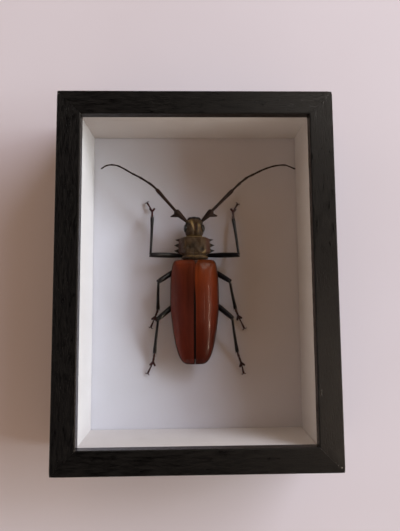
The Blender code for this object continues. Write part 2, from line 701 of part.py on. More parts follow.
def foot_end_meshes(ankle, fork, tip):
    """(name, mesh) of a foot's two lobes and two claws."""
    along = (fork - ankle).normalized()
    forward = (tip - fork).normalized()
    sideways = forward.cross(Vector((0, 0, 1))).normalized()
    meshes = []
    for k, sign in enumerate((-1, 1)):
        lobe_root = fork - along * LOBE["behind"] + sideways * sign * LOBE["parting"]
        lobe_tip = fork + along * LOBE["ahead"] + sideways * sign * LOBE["aside"]
        lobe_tip.z = max(lobe_tip.z, LOBE["lowest"])
        line = (lobe_root, fork.lerp(lobe_tip, 0.6), lobe_tip)
        meshes.append((f"lobe_{k}", limb_mesh("lobe", list(zip(line, LOBE_RADII)))))

        behind = CLAW["behind"] + CLAW["stagger"] * k
        claw_root = tip - forward * behind + sideways * sign * CLAW["parting"]
        claw_tip = tip - forward * CLAW["back"] + sideways * sign * CLAW["aside"]
        claw_tip.z = CLAW["height"]
        meshes.append((f"claw_{k}", spike_mesh("claw", claw_root, claw_tip, CLAW_RADIUS)))
    return meshes


def build_legs(shop, black):
    """Six legs, each fused from thigh, shin, foot, the foot's lobes, last joint and claws."""
    for side, points in LEGS.items():
        root, knee, ankle, fork, tip = (Vector(point) for point in points)
        thigh = limb_mesh("thigh", stations_between(root, knee, THIGH))
        leg = shop.add("leg_" + side, thigh, black, shop.beetle_axis)
        details = [
            ("shin", limb_mesh("shin", stations_between(knee, ankle, SHIN))),
            ("foot", limb_mesh("foot", stations_between(ankle, fork, FOOT))),
            ("last_joint", limb_mesh("last_joint", stations_between(fork, tip, LAST_JOINT))),
            *foot_end_meshes(ankle, fork, tip),
        ]
        for name, mesh in details:
            shop.boolean(leg, shop.add(f"{name}_{side}", mesh, black, shop.beetle_axis), "UNION")


def main():
    """Clears the scene and builds the box frame and the beetle."""
    for stale in list(bpy.data.objects):
        bpy.data.objects.remove(stale, do_unlink=True)
    shop = Workshop()
    steel = finish("zinc_plated_steel", "B9B9B4", 0.35, metallic=1.0)
    black = finish("black_cuticle", "15110F", 0.25)
    brown = finish("brown_cuticle", "3F2C1D", 0.6)
    build_rails(shop, finish("black_moulding", "1D1915", 0.45), steel)
    build_filling(
        shop,
        finish("clear_glass", "FFFFFF", 0.02, transmission=1.0),
        finish("white_liner", "DDD9DA", 0.6),
        finish("white_card", "D2D0D6", 0.7),
        finish("brown_hardboard", "7A5A3C", 0.8),
    )
    build_hanger(shop, steel)
    build_wing_cases(shop, finish("red_brown_wing_case", "57230F", 0.25))
    build_trunk(shop, brown, black)
    build_antennae(shop, finish("dark_brown_cuticle", "241712", 0.4))
    build_legs(shop, black)


main()
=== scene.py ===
"""Looks of a large longhorn beetle mounted in a black box frame with a glass front.

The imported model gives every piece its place, and each piece here stands for a solid of it or
dresses it. The box lies on its back: X runs across the picture, +Y towards the beetle's head, and
+Z out of the glass. Blender works in metres. The beetle's own tables are in millimetres of its
own frame, as an insect is measured: X from the line where its wing cases meet, Y as in the box,
and Z from the top of the card that carries it.
"""

import json
import logging
import random
from collections.abc import Callable, Sequence
from dataclasses import dataclass, field
from enum import Enum
from math import copysign, cos, dist, exp, hypot, inf, isclose, pi, radians, sin, sqrt

import bmesh
import bpy
from bpy.types import ID, Material, Mesh, Node, NodeSocket, NodeTree, Object
from mathutils import Matrix, Vector, noise

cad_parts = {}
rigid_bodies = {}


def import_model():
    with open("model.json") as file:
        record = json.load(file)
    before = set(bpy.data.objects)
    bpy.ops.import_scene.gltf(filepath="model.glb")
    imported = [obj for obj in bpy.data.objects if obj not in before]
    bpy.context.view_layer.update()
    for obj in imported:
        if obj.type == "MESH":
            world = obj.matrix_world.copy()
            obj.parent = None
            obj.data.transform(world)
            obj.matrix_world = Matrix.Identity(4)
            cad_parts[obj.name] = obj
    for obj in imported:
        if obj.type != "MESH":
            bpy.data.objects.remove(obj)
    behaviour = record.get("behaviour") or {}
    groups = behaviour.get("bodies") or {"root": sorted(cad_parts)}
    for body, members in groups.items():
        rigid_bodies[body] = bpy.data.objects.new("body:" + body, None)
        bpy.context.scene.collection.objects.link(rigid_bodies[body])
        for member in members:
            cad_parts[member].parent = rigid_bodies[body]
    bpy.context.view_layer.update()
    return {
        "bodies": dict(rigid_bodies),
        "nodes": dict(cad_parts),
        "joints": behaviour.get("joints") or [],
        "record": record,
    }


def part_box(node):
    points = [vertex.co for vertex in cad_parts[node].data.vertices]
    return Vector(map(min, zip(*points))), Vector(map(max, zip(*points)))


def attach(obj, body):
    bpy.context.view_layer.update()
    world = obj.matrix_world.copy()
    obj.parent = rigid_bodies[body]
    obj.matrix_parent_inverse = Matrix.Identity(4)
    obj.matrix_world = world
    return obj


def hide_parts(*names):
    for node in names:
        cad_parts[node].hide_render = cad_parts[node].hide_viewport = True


log = logging.getLogger("framed_beetle")

MM = 0.001
QUARTER = pi / 2
ROOT_BODY = "root"

# Driving sizes of the box in metres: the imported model's, but for a face 1.1 mm wider
OUTER_WIDTH = 150.0 * MM
OUTER_LENGTH = 202.0 * MM
DEPTH = 45.0 * MM
FACE_WIDTH = 12.9 * MM  # of a rail, seen from the front
WALL = 8.7 * MM  # of a rail, behind the rebate
LIP = 4.8 * MM  # thickness of the lip over the glass
MITRE_GAP = 0.03 * MM  # closed with black filler
BEETLE_X = -1.0 * MM  # the beetle's middle line, from the middle of the box

Pair = tuple[float, float]
Rows = tuple[Pair, ...]
Point = tuple[float, float, float]
Ring = list[Vector]


class Named(Enum):
    """An option whose name is also a word in the names of pieces."""

    @property
    def word(self) -> str:
        """The name as a piece's name has it."""
        return self.name.lower()


class Side(Named):
    """A side of the beetle; the value is the sign of X there."""

    LEFT = -1
    RIGHT = 1


class RailSide(Named):
    """A side of the box: the rail's outer face on it, and quarter turns from the bottom rail."""

    BOTTOM = (0.0, -0.5, 0)
    RIGHT = (0.5, 0.0, 1)
    TOP = (0.0, 0.5, 2)
    LEFT = (-0.5, 0.0, -1)

    @property
    def length(self) -> float:
        """Length of the rail along its outer face, in metres."""
        return OUTER_WIDTH if self.value[2] % 2 == 0 else OUTER_LENGTH

    @property
    def place(self) -> Matrix:
        """Where the rail goes.

        Returns:
            The way from its own frame, along X with its outer face on Y = 0 and +Y inwards.
        """
        across, along, quarters = self.value
        spot = Matrix.Translation((across * OUTER_WIDTH, along * OUTER_LENGTH, 0))
        return spot @ Matrix.Rotation(quarters * QUARTER, 4, "Z")


class LampShape(Enum):
    """Outline of a lamp, by Blender's word for it."""

    OBLONG = "RECTANGLE"
    OVAL = "ELLIPSE"


# Colour and nodes


def linear(hex_colour: str) -> tuple[float, float, float, float]:
    """Turn an sRGB colour to the linear values that shaders use.

    Args:
        hex_colour: Six hex digits, such as "8A4220".

    Returns:
        Linear red, green, blue, and an alpha of 1.
    """

    def channel(pair: str) -> float:
        """Linear value of one pair of hex digits."""
        value = int(pair, 16) / 255
        return value / 12.92 if value <= 0.04045 else ((value + 0.055) / 1.055) ** 2.4

    red, green, blue = (channel(hex_colour[i : i + 2]) for i in (0, 2, 4))
    return red, green, blue, 1.0


def per_mm(size: float) -> float:
    """The scale that gives a pattern features of this size in millimetres."""
    return 1 / (size * MM)


def add_node(
    tree: NodeTree,
    kind: str,
    inputs: dict[str | int, object] | None = None,
    stops: Sequence[tuple[float, str]] = (),
    **settings: object,
) -> Node:
    """Add a shader node with its settings and links.

    Args:
        tree: The node tree it goes in.
        kind: The node's type, without "ShaderNode".
        inputs: A value, a node or a socket for each input; a node stands for its first output.
        stops: A colour ramp's stops, as places and sRGB hex colours.
        **settings: The node's own properties.

    Returns:
        The new node.
    """
    node = tree.nodes.new("ShaderNode" + kind)
    for name, value in settings.items():
        setattr(node, name, value)
    for key, value in (inputs or {}).items():
        named = [s for s in node.inputs if s.name == key and s.enabled]
        socket = node.inputs[key] if isinstance(key, int) else named[0]
        if isinstance(value, Node):
            value = next(s for s in value.outputs if s.enabled)
        if isinstance(value, NodeSocket):
            tree.links.new(value, socket)
        else:
            socket.default_value = value
    if stops:
        elements = node.color_ramp.elements
        while len(elements) < len(stops):
            elements.new(1.0)
        for element, (place, colour) in zip(elements, stops):
            element.position = place
            element.color = linear(colour)
    return node


class Recipe:
    """A material in the making: its node tree, its shader, and where a point is, in metres."""

    def __init__(self, name: str, roughness: float, **constants: float) -> None:
        """Start a Principled material.

        Args:
            name: The material's name.
            roughness: The shader's roughness.
            **constants: Values of the shader's other sockets, with _ for a space.
        """
        self.material = bpy.data.materials.new(name)
        self.material.use_nodes = True
        self.tree = self.material.node_tree
        self.shader = self.tree.nodes["Principled BSDF"]
        self.shader.inputs["Roughness"].default_value = roughness
        for socket, value in constants.items():
            self.shader.inputs[socket.replace("_", " ")].default_value = value
        self.place = self.add("TexCoord").outputs["Object"]

    def add(self, kind: str, inputs: dict | None = None, **settings: object) -> Node:
        """Add a node as add_node does; a texture goes by the place unless it is given a vector."""
        given = {"Vector": self.place} if kind in ("TexNoise", "TexVoronoi") else {}
        return add_node(self.tree, kind, given | (inputs or {}), **settings)

    def finish(self, **sources: Node) -> Material:
        """Link the last nodes to the shader.

        Args:
            **sources: A node for each of the shader's sockets, with _ for a space.

        Returns:
            The material.
        """
        for name, node in sources.items():
            output = next(s for s in node.outputs if s.enabled)
            self.tree.links.new(output, self.shader.inputs[name.replace("_", " ")])
        return self.material

    def mark(self, name: str, output: str = "Fac") -> NodeSocket:
        """A number that the mesh carries on its points, or a vector from the output Vector."""
        return self.add("Attribute", attribute_name=name).outputs[output]


# Numbers


def curve_value(rows: Rows, share: float) -> float:
    """Height of the smooth curve through rows, without overshoot.

    Args:
        rows: Rows of (share, height), by rising share.
        share: Where on the curve.

    Returns:
        The height there.
    """
    slopes = [(b[1] - a[1]) / (b[0] - a[0]) for a, b in zip(rows, rows[1:])]
    share = min(max(share, rows[0][0]), rows[-1][0])
    i = max(k for k in range(len(slopes)) if rows[k][0] <= share)

    def tangent(k: int) -> float:
        """Slope at a row: the harmonic mean of its two sides, or 0 at a turning point.

        Args:
            k: Which row.

        Returns:
            The slope.
        """
        if k in (0, len(slopes)):
            return slopes[min(k, len(slopes) - 1)]
        before, after = slopes[k - 1], slopes[k]
        return 0.0 if before * after <= 0 else 2 * before * after / (before + after)

    span = rows[i + 1][0] - rows[i][0]
    t = (share - rows[i][0]) / span
    start, end = rows[i][1], rows[i + 1][1]
    return (
        start * (1 + 2 * t) * (1 - t) ** 2
        + end * t * t * (3 - 2 * t)
        + span * (tangent(i) * t * (1 - t) ** 2 - tangent(i + 1) * t * t * (1 - t))
    )


def signed_power(value: float, exponent: float) -> float:
    """The power of a number's size, with the number's own sign."""
    return copysign(abs(value) ** exponent, value)


def bell(distance: float, radius: float) -> float:
    """A smooth bump: 1 in the middle and nearly 0 at twice the radius."""
    return exp(-((distance / radius) ** 2))


def ramp(value: float, low: float, high: float) -> float:
    """How far a value is from low to high, kept within 0 and 1; high may be the smaller one."""
    return min(1.0, max(0.0, (value - low) / (high - low)))


@dataclass(frozen=True)
class Band:
    """A soft band that keeps its distance from an edge."""

    strength: float
    middle: float  # its distance from the edge
    radius: float

    def at(self, distance: float) -> float:
        """Its strength at this distance from the edge."""
        return self.strength * bell(distance - self.middle, self.radius)


@dataclass(frozen=True)
class Spot:
    """A soft oval spot, or a soft line where one of its radii is endless."""

    x: float
    y: float
    across: float  # its radius along X
    along: float  # its radius along Y
    strength: float
    slant: float = 0.0  # how far its middle goes towards +X for each unit along Y

    def at(self, x: float, y: float) -> float:
        """Its strength at a point.

        Args:
            x: The point's X.
            y: The point's Y.

        Returns:
            The strength there.
        """
        ahead = y - self.y
        aside = x - self.x - self.slant * ahead
        return self.strength * bell(aside, self.across) * bell(ahead, self.along)


def total(marks: Sequence[Spot], place: Vector) -> float:
    """The strength of all these spots together at a place."""
    return sum(mark.at(place.x, place.y) for mark in marks)


def shares(count: int, crowding: float = 0.5) -> list[float]:
    """Places from 0 to 1: a crowding of 0 spaces them evenly, and 1 as a cosine does."""
    evenly = [k / (count - 1) for k in range(count)]
    return [(1 - crowding) * t + crowding * (1 - cos(pi * t)) / 2 for t in evenly]


def ring_of_body(share: float, crowding: float, bluntness: float) -> Pair:
    """Where a ring stands along a rounded body and how full it is.

    Args:
        share: 0 to 1 from pole to pole.
        crowding: Under 1 crowds the rings towards the ends.
        bluntness: Small powers give square ends.

    Returns:
        The place along the body and the fullness, both 0 to 1.
    """
    along = 0.5 - 0.5 * signed_power(cos(pi * share), crowding)
    fullness = sin(pi * share) ** bluntness if 0 < share < 1 else 0.0
    return along, fullness


def through(points: Sequence[Vector], share: float) -> Vector:
    """Point of the smooth line through the points.

    Args:
        points: Two or more points.
        share: Where on the line, 0 to 1, each stretch between points taking the same share.

    Returns:
        The point there, by Catmull and Rom's rule.
    """
    last = len(points) - 1
    i = min(int(share * last), last - 1)
    t = share * last - i
    a, b = points[max(i - 1, 0)], points[i]
    c, d = points[i + 1], points[min(i + 2, last)]
    bend = (2 * a - 5 * b + 4 * c - d) * t * t + (3 * b - a - 3 * c + d) * t**3
    return (2 * b + (c - a) * t + bend) / 2


# Meshes


def placed(name: str, data: ID) -> Object:
    """Put a mesh, lamp or camera in the scene.

    Args:
        name: The object's name.
        data: What it shows.

    Returns:
        The object.
    """
    item = bpy.data.objects.new(name, data)
    bpy.context.scene.collection.objects.link(item)
    return item


def finished(bm: bmesh.types.BMesh, name: str, outward: bool = True) -> Mesh:
    """Turn what was made into a mesh, and free what it was made in.

    Args:
        bm: What was made.
        name: The mesh's name.
        outward: Whether its faces are turned to point out.

    Returns:
        The mesh.
    """
    if outward:
        bmesh.ops.recalc_face_normals(bm, faces=bm.faces)
    mesh = bpy.data.meshes.new(name)
    bm.to_mesh(mesh)
    bm.free()
    return mesh


class Skin:
    """A mesh in the making, with named numbers on its points that the finishes read."""

    def __init__(self, *marks: str) -> None:
        """Start an empty mesh whose points carry numbers of these names."""
        self.bm = bmesh.new()
        self.layers = {mark: self.bm.verts.layers.float.new(mark) for mark in marks}

    def point(self, place: Vector, marks: dict[str, float]) -> bmesh.types.BMVert:
        """Add a point.

        Args:
            place: Where it is.
            marks: Its numbers by name.

        Returns:
            The point.
        """
        vertex = self.bm.verts.new(place)
        for mark, value in marks.items():
            vertex[self.layers[mark]] = value
        return vertex

    def join(self, rows: Sequence[Sequence[bmesh.types.BMVert]], closed: bool = True) -> None:
        """Cover rows of points with four-sided faces.

        Args:
            rows: Rows with the same number of points, in order.
            closed: Whether the last point of a row is joined to its first.
        """
        for row, after in zip(rows, rows[1:]):
            for i in range(len(row) if closed else len(row) - 1):
                j = (i + 1) % len(row)
                self.bm.faces.new((row[i], row[j], after[j], after[i]))

    def loft(self, rings: Sequence[Ring], **marks: float) -> None:
        """Cover rings of points with one closed skin that has a fan on each end.

        Args:
            rings: Rings with the same number of points, in order.
            **marks: Numbers that all its points carry.
        """
        rows = [[self.point(place, marks) for place in ring] for ring in rings]
        self.join(rows)
        for row, ring in ((rows[0], rings[0]), (rows[-1], rings[-1])):
            middle = self.point(sum(ring, Vector()) / len(ring), marks)
            for i in range(len(row)):
                self.bm.faces.new((row[i], row[(i + 1) % len(row)], middle))

    def mesh(self, name: str) -> Mesh:
        """The finished mesh, its faces pointing out."""
        return finished(self.bm, name)


def body_rings(
    shape: Callable[[float, float], Vector], around: int, along: int, end: float = 0.004
) -> list[Ring]:
    """Rings of a body of one skin.

    Args:
        shape: Gives a point from a share from pole to pole and an angle.
        around: Points in a ring.
        along: Number of rings.
        end: How near to the poles the first and the last ring are.

    Returns:
        The rings.
    """
    turns = [2 * pi * k / around for k in range(around)]
    places = [end + (1 - 2 * end) * k / (along - 1) for k in range(along)]
    return [[shape(place, turn) for turn in turns] for place in places]


def limb_rings(
    line: Sequence[Vector], half_widths: Rows, flatness: float = 1.0, sides: int = 14, steps: int = 22
) -> list[Ring]:
    """Rings of a limb with rounded ends, along a smooth line.

    Args:
        line: Points of its middle line.
        half_widths: Rows of (share of the length, half width).
        flatness: Its height over its width.
        sides: Points in a ring.
        steps: Number of rings.

    Returns:
        The rings.
    """
    probe = 0.01  # share of the line to each side of a ring, for its direction
    least = 0.2  # fullness of the end rings, which the fans close
    rings = []
    length = sum((b - a).length for a, b in zip(line, line[1:]))
    for share in shares(steps, 0.8):
        ahead, behind = through(line, min(share + probe, 1)), through(line, max(share - probe, 0))
        forward = (ahead - behind).normalized()
        sideways = forward.cross(Vector((0, 0, 1))).normalized()
        upwards = sideways.cross(forward)
        width = curve_value(half_widths, share)
        from_end = min(share, 1 - share) * length / max(width, probe)
        width *= max(least, sqrt(1 - (1 - min(from_end, 1)) ** 2))
        middle = through(line, share)
        ring = []
        for k in range(sides):
            angle = 2 * pi * k / sides
            ring.append(middle + sideways * width * cos(angle) + upwards * width * flatness * sin(angle))
        rings.append(ring)
    return rings


def egg_rings(centre: Vector, radii: Point, around: int = 24, along: int = 16) -> list[Ring]:
    """Rings of an egg-shaped body.

    Args:
        centre: Its centre.
        radii: Its radii along X, Y and Z.
        around: Points in a ring.
        along: Number of rings.

    Returns:
        The rings.
    """

    def shape(share: float, angle: float) -> Vector:
        """A point of its skin.

        Args:
            share: 0 to 1 from pole to pole.
            angle: Around it, from +X upwards.

        Returns:
            The point.
        """
        reach = sin(pi * share)
        across = (reach * cos(angle), -cos(pi * share), reach * sin(angle))
        return centre + Vector(a * b for a, b in zip(across, radii))

    return body_rings(shape, around, along, 0.02)


def spike_rings(root: Vector, tip: Vector, radius: float, bend: float = 0.0, sides: int = 8) -> list[Ring]:
    """Rings of a spike whose root flares into what it grows from.

    Args:
        root: The middle of its root.
        tip: Its point.
        radius: Its radius at the root.
        bend: How far its middle is lifted from the straight line.
        sides: Points in a ring.

    Returns:
        The rings.
    """
    middle = root.lerp(tip, 0.55) + Vector((0, 0, bend))
    rows = ((0.0, radius), (0.25, radius * 0.62), (0.6, radius * 0.34), (1.0, radius * 0.1))
    return limb_rings((root, middle, tip), rows, 0.8, sides, 9)


def fused(mesh: Mesh, voxel: float, smoothing: int = 3) -> Mesh:
    """Grow overlapping skins together into one, as an animal's shell is.

    Args:
        mesh: The skins, in millimetres; it is removed.
        voxel: Size of a cell of the new skin.
        smoothing: How many times it is smoothed.

    Returns:
        The new mesh.
    """
    holder = placed("fusing", mesh)
    remesh = holder.modifiers.new("one_skin", "REMESH")
    remesh.mode = "VOXEL"
    remesh.voxel_size = voxel
    smooth = holder.modifiers.new("smooth", "SMOOTH")
    smooth.iterations = smoothing
    graph = bpy.context.evaluated_depsgraph_get()
    made = bpy.data.meshes.new_from_object(holder.evaluated_get(graph))
    bpy.data.objects.remove(holder)
    bpy.data.meshes.remove(mesh)
    return made


def push_out(mesh: Mesh, height: Callable[[Vector, Vector], float]) -> None:
    """Move each point of a mesh along its normal.

    Args:
        mesh: The mesh.
        height: How far, from the point's place and normal.
    """
    moves = [(v.co.copy(), v.normal.copy()) for v in mesh.vertices]
    for vertex, (place, normal) in zip(mesh.vertices, moves):
        vertex.co = place + normal * height(place, normal)


def paint(mesh: Mesh, mark: str, value: Callable[[Vector], float]) -> None:
    """Give each point of a mesh a number that a finish reads, from the point's place."""
    layer = mesh.attributes.get(mark) or mesh.attributes.new(mark, "FLOAT", "POINT")
    layer.data.foreach_set("value", [value(vertex.co) for vertex in mesh.vertices])


@dataclass
class Bench:
    """Where pieces are put together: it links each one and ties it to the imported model."""

    made: int = 0

    @property
    def beetle(self) -> Matrix:
        """The beetle's frame, in millimetres on the card, as a place in the box."""
        card_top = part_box("mounting_card")[1][2]
        return Matrix.Translation((BEETLE_X, 0, card_top)) @ Matrix.Scale(MM, 4)

    def add(
        self, name: str, mesh: Mesh, material: Material, slot: str, node: str,
        place: Matrix | None = None, smooth_angle: float = 40.0,
    ) -> Object:
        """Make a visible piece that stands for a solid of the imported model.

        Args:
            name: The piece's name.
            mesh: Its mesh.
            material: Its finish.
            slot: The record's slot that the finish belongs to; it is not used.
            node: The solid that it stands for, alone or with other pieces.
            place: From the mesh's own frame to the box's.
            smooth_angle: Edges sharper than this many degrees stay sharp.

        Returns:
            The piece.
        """
        mesh.transform(place or Matrix.Identity(4))
        mesh.materials.append(material)
        mesh.shade_smooth()
        mesh.set_sharp_from_angle(angle=radians(smooth_angle))
        piece = placed(name, mesh)
        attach(piece, ROOT_BODY)
        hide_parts(node)
        self.made += 1
        log.info("%s: %d faces", name, len(mesh.polygons))
        return piece


# Finishes of the box


@dataclass(frozen=True)
class OakFoil:
    """Black foil with an embossed oak grain, wrapped round the moulding.

    The eye gets a dull black with short dark pores along the rail, streaks that gleam more
    than the rest, a smoother lip by the glass with painted light on its inner face, pale core where a corner
    was knocked, and painted highlight on the left inner mitres.
    """

    dark: str = "050404"
    light: str = "0D0B0A"
    pore: str = "010101"
    # Painted light: the lighter colour of the lip's inner face, laid on most where the lip faces the lamps
    lip: str = "242120"
    # Pale colour of the bare core at knocked corners, also used for the painted highlight on the left inner
    # mitres
    core: str = "8C857B"
    pore_width: float = 0.42  # an oak's pores are finer, and are drawn coarser to show
    pore_length: float = 4.2
    band_width: float = 1.3
    band_length: float = 8.0
    crumb: float = 0.4  # of the bare core
    tooth: float = 0.15
    roughness: float = 0.38
    lip_roughness: float = 0.22
    # Knocked outer corners, and painted highlight on the two left inner mitres: (x, y, z, radius) in
    # millimetres of the box
    chips_and_mitre_highlights: tuple[tuple[float, float, float, float], ...] = (
        (73.2, -98.2, 45.0, 1.0), (71.4, -97.0, 45.0, 0.6), (73.0, 98.6, 45.0, 0.5),
        (-73.9, 99.2, 45.0, 0.5), (-62.2, 88.2, 44.5, 0.7), (-62.2, 88.2, 43.2, 0.7),
        (-62.2, 88.2, 41.9, 0.7), (-62.2, -88.2, 44.5, 0.7), (-62.2, -88.2, 43.2, 0.7),
    )

    def make(self) -> Material:
        """Mix the finish.

        Returns:
            The material.
        """
        mat = Recipe("black_oak_foil", self.roughness, Specular_IOR_Level=0.22)
        grain = mat.mark("grain", "Vector")
        thin = mat.add("Mapping", {"Vector": grain, "Scale": (1 / self.pore_length, 1 / self.pore_width, 1)})
        pores = mat.add("TexNoise", {"Vector": thin, "Scale": 1.0, "Roughness": 0.6})
        deep = mat.add("MapRange", {"Value": pores, "From Min": 0.36, "From Max": 0.50})
        wide = mat.add("Mapping", {"Vector": grain, "Scale": (1 / self.band_length, 1 / self.band_width, 1)})
        bands = mat.add("TexNoise", {"Vector": wide, "Scale": 1.0, "Detail": 3.0, "Distortion": 0.6})
        shade = mat.add(
            "ValToRGB", {"Fac": bands}, stops=((0.30, self.dark), (0.62, self.light), (0.8, self.dark))
        )
        pored = mat.add("Mix", {"Factor": deep, "A": linear(self.pore), "B": shade}, data_type="RGBA")
        broken = None
        # Pale spots: bare core at the knocked outer corners, and painted highlight at the left inner mitres
        for x, y, z, radius in self.chips_and_mitre_highlights:
            away = mat.add("VectorMath", {0: mat.place, 1: (x * MM, y * MM, z * MM)}, operation="DISTANCE")
            near = mat.add(
                "MapRange", {"Value": away, "From Max": radius * MM, "To Min": 1.0, "To Max": 0.0}
            )
            broken = near if broken is None else mat.add("Math", {0: broken, 1: near}, operation="MAXIMUM")
        crumbs = mat.add("TexNoise", {"Scale": per_mm(self.crumb), "Detail": 3.0})
        ragged = mat.add("Math", {0: broken, 1: crumbs}, operation="MULTIPLY")
        bare = mat.add("MapRange", {"Value": ragged, "From Min": 0.30, "From Max": 0.42})
        # The lip mark lays painted light on the lip's inner face, a lighter colour where it faces the lamps,
        # and gives it a smoother finish
        on_lip = mat.mark("lip")
        faced = mat.add("Mix", {"Factor": on_lip, "A": pored, "B": linear(self.lip)}, data_type="RGBA")
        colour = mat.add("Mix", {"Factor": bare, "A": faced, "B": linear(self.core)}, data_type="RGBA")
        streaky = mat.add(
            "MapRange",
            {"Value": bands, "From Min": 0.3, "From Max": 0.7,
             "To Min": self.roughness - 0.12, "To Max": self.roughness + 0.14},
        )
        dull = mat.add("Mix", {"Factor": on_lip, "A": streaky, "B": self.lip_roughness})
        fine = mat.add("TexNoise", {"Scale": per_mm(self.tooth)})
        depth = mat.add("Math", {0: fine, 1: 0.25, 2: deep}, operation="MULTIPLY_ADD")
        bump = mat.add("Bump", {"Height": depth, "Strength": 0.55, "Distance": 0.08 * MM})
        return mat.finish(Base_Color=colour, Roughness=dull, Normal=bump)


@dataclass(frozen=True)
class FloatGlass:
    """Picture glass: float glass with cut edges, clear, with a trace of green."""

    tint: str = "FBFEFC"
    roughness: float = 0.0
    ior: float = 1.52

    def make(self) -> Material:
        """Mix the finish.

        Returns:
            The material.
        """
        mat = Recipe("float_glass", self.roughness, IOR=self.ior, Transmission_Weight=1.0)
        mat.shader.inputs["Base Color"].default_value = linear(self.tint)
        return mat.finish()


@dataclass(frozen=True)
class WhiteBoard:
    """White-faced board, cut on a guillotine: a faint paper tooth, and soft grey scuffs.

    It makes the liner and, with another colour and name, the card that carries the beetle.
    """

    name: str
    colour: str
    scuffed: str
    tooth: float = 0.35  # paper fibres are finer, and are drawn coarser to show
    cloud: float = 14.0
    roughness: float = 0.62
    tooth_depth: float = 0.02

    def make(self) -> Material:
        """Mix the finish.

        Returns:
            The material.
        """
        mat = Recipe(self.name, self.roughness, Specular_IOR_Level=0.3)
        clouds = mat.add("TexNoise", {"Scale": per_mm(self.cloud), "Detail": 5.0, "Roughness": 0.6})
        fibres = mat.add("TexNoise", {"Scale": per_mm(self.tooth), "Detail": 3.0, "Roughness": 0.7})
        scuffs = mat.add("MapRange", {"Value": clouds, "From Min": 0.35, "From Max": 0.75})
        toned = mat.add(
            "Mix", {"Factor": scuffs, "A": linear(self.colour), "B": linear(self.scuffed)}, data_type="RGBA"
        )
        speck = mat.add(
            "MapRange", {"Value": fibres, "From Min": 0.3, "From Max": 0.7, "To Min": 0.96, "To Max": 1.03}
        )
        colour = mat.add("VectorMath", {0: toned, "Scale": speck}, operation="SCALE")
        bump = mat.add("Bump", {"Height": fibres, "Strength": 0.4, "Distance": self.tooth_depth * MM})
        return mat.finish(Base_Color=colour, Normal=bump)


@dataclass(frozen=True)
class Hardboard:
    """Hardboard, hot-pressed wood fibre: brown, flecked, with the press's screen on its back."""

    light: str = "8A6844"
    dark: str = "5C4029"
    fibre: float = 1.1
    screen_pitch: float = 1.3
    roughness: float = 0.78

    def make(self) -> Material:
        """Mix the finish.

        Returns:
            The material.
        """
        mat = Recipe("hardboard", self.roughness)
        felt = mat.add("TexNoise", {"Scale": per_mm(self.fibre), "Detail": 6.0, "Distortion": 1.5})
        shade = mat.add("ValToRGB", {"Fac": felt}, stops=((0.3, self.dark), (0.68, self.light)))
        turned = mat.add("Mapping", {"Vector": mat.place, "Rotation": (0, 0, radians(45))})
        screen = mat.add(
            "TexVoronoi", {"Vector": turned, "Scale": per_mm(self.screen_pitch), "Randomness": 0.05}
        )
        height = mat.add("Math", {0: felt, 1: 0.4, 2: screen}, operation="MULTIPLY_ADD")
        bump = mat.add("Bump", {"Height": height, "Strength": 0.6, "Distance": 0.15 * MM})
        return mat.finish(Base_Color=shade, Normal=bump)


@dataclass(frozen=True)
class ZincPlate:
    """Steel stamped from strip and bright zinc plated: pale grey, with rolling lines and dull bloom."""

    colour: str = "B4B4AE"
    bloom: str = "8E8F8C"
    line_pitch: float = 0.3
    line_length: float = 6.0
    cloud: float = 2.5
    roughness: float = 0.34

    def make(self) -> Material:
        """Mix the finish.

        Returns:
            The material.
        """
        mat = Recipe("bright_zinc_plate", self.roughness, Metallic=1.0)
        along = per_mm(self.line_length)
        drawn = mat.add("Mapping", {"Vector": mat.place, "Scale": (per_mm(self.line_pitch), along, along)})
        lines = mat.add("TexNoise", {"Vector": drawn, "Scale": 1.0})
        dulled = mat.add("TexNoise", {"Scale": per_mm(self.cloud), "Detail": 4.0})
        shade = mat.add("ValToRGB", {"Fac": dulled}, stops=((0.4, self.colour), (0.75, self.bloom)))
        rough = mat.add(
            "MapRange", {"Value": lines, "To Min": self.roughness - 0.08, "To Max": self.roughness + 0.14}
        )
        bump = mat.add("Bump", {"Height": lines, "Strength": 0.3, "Distance": 0.01 * MM})
        return mat.finish(Base_Color=shade, Roughness=rough, Normal=bump)


# Finishes of the beetle


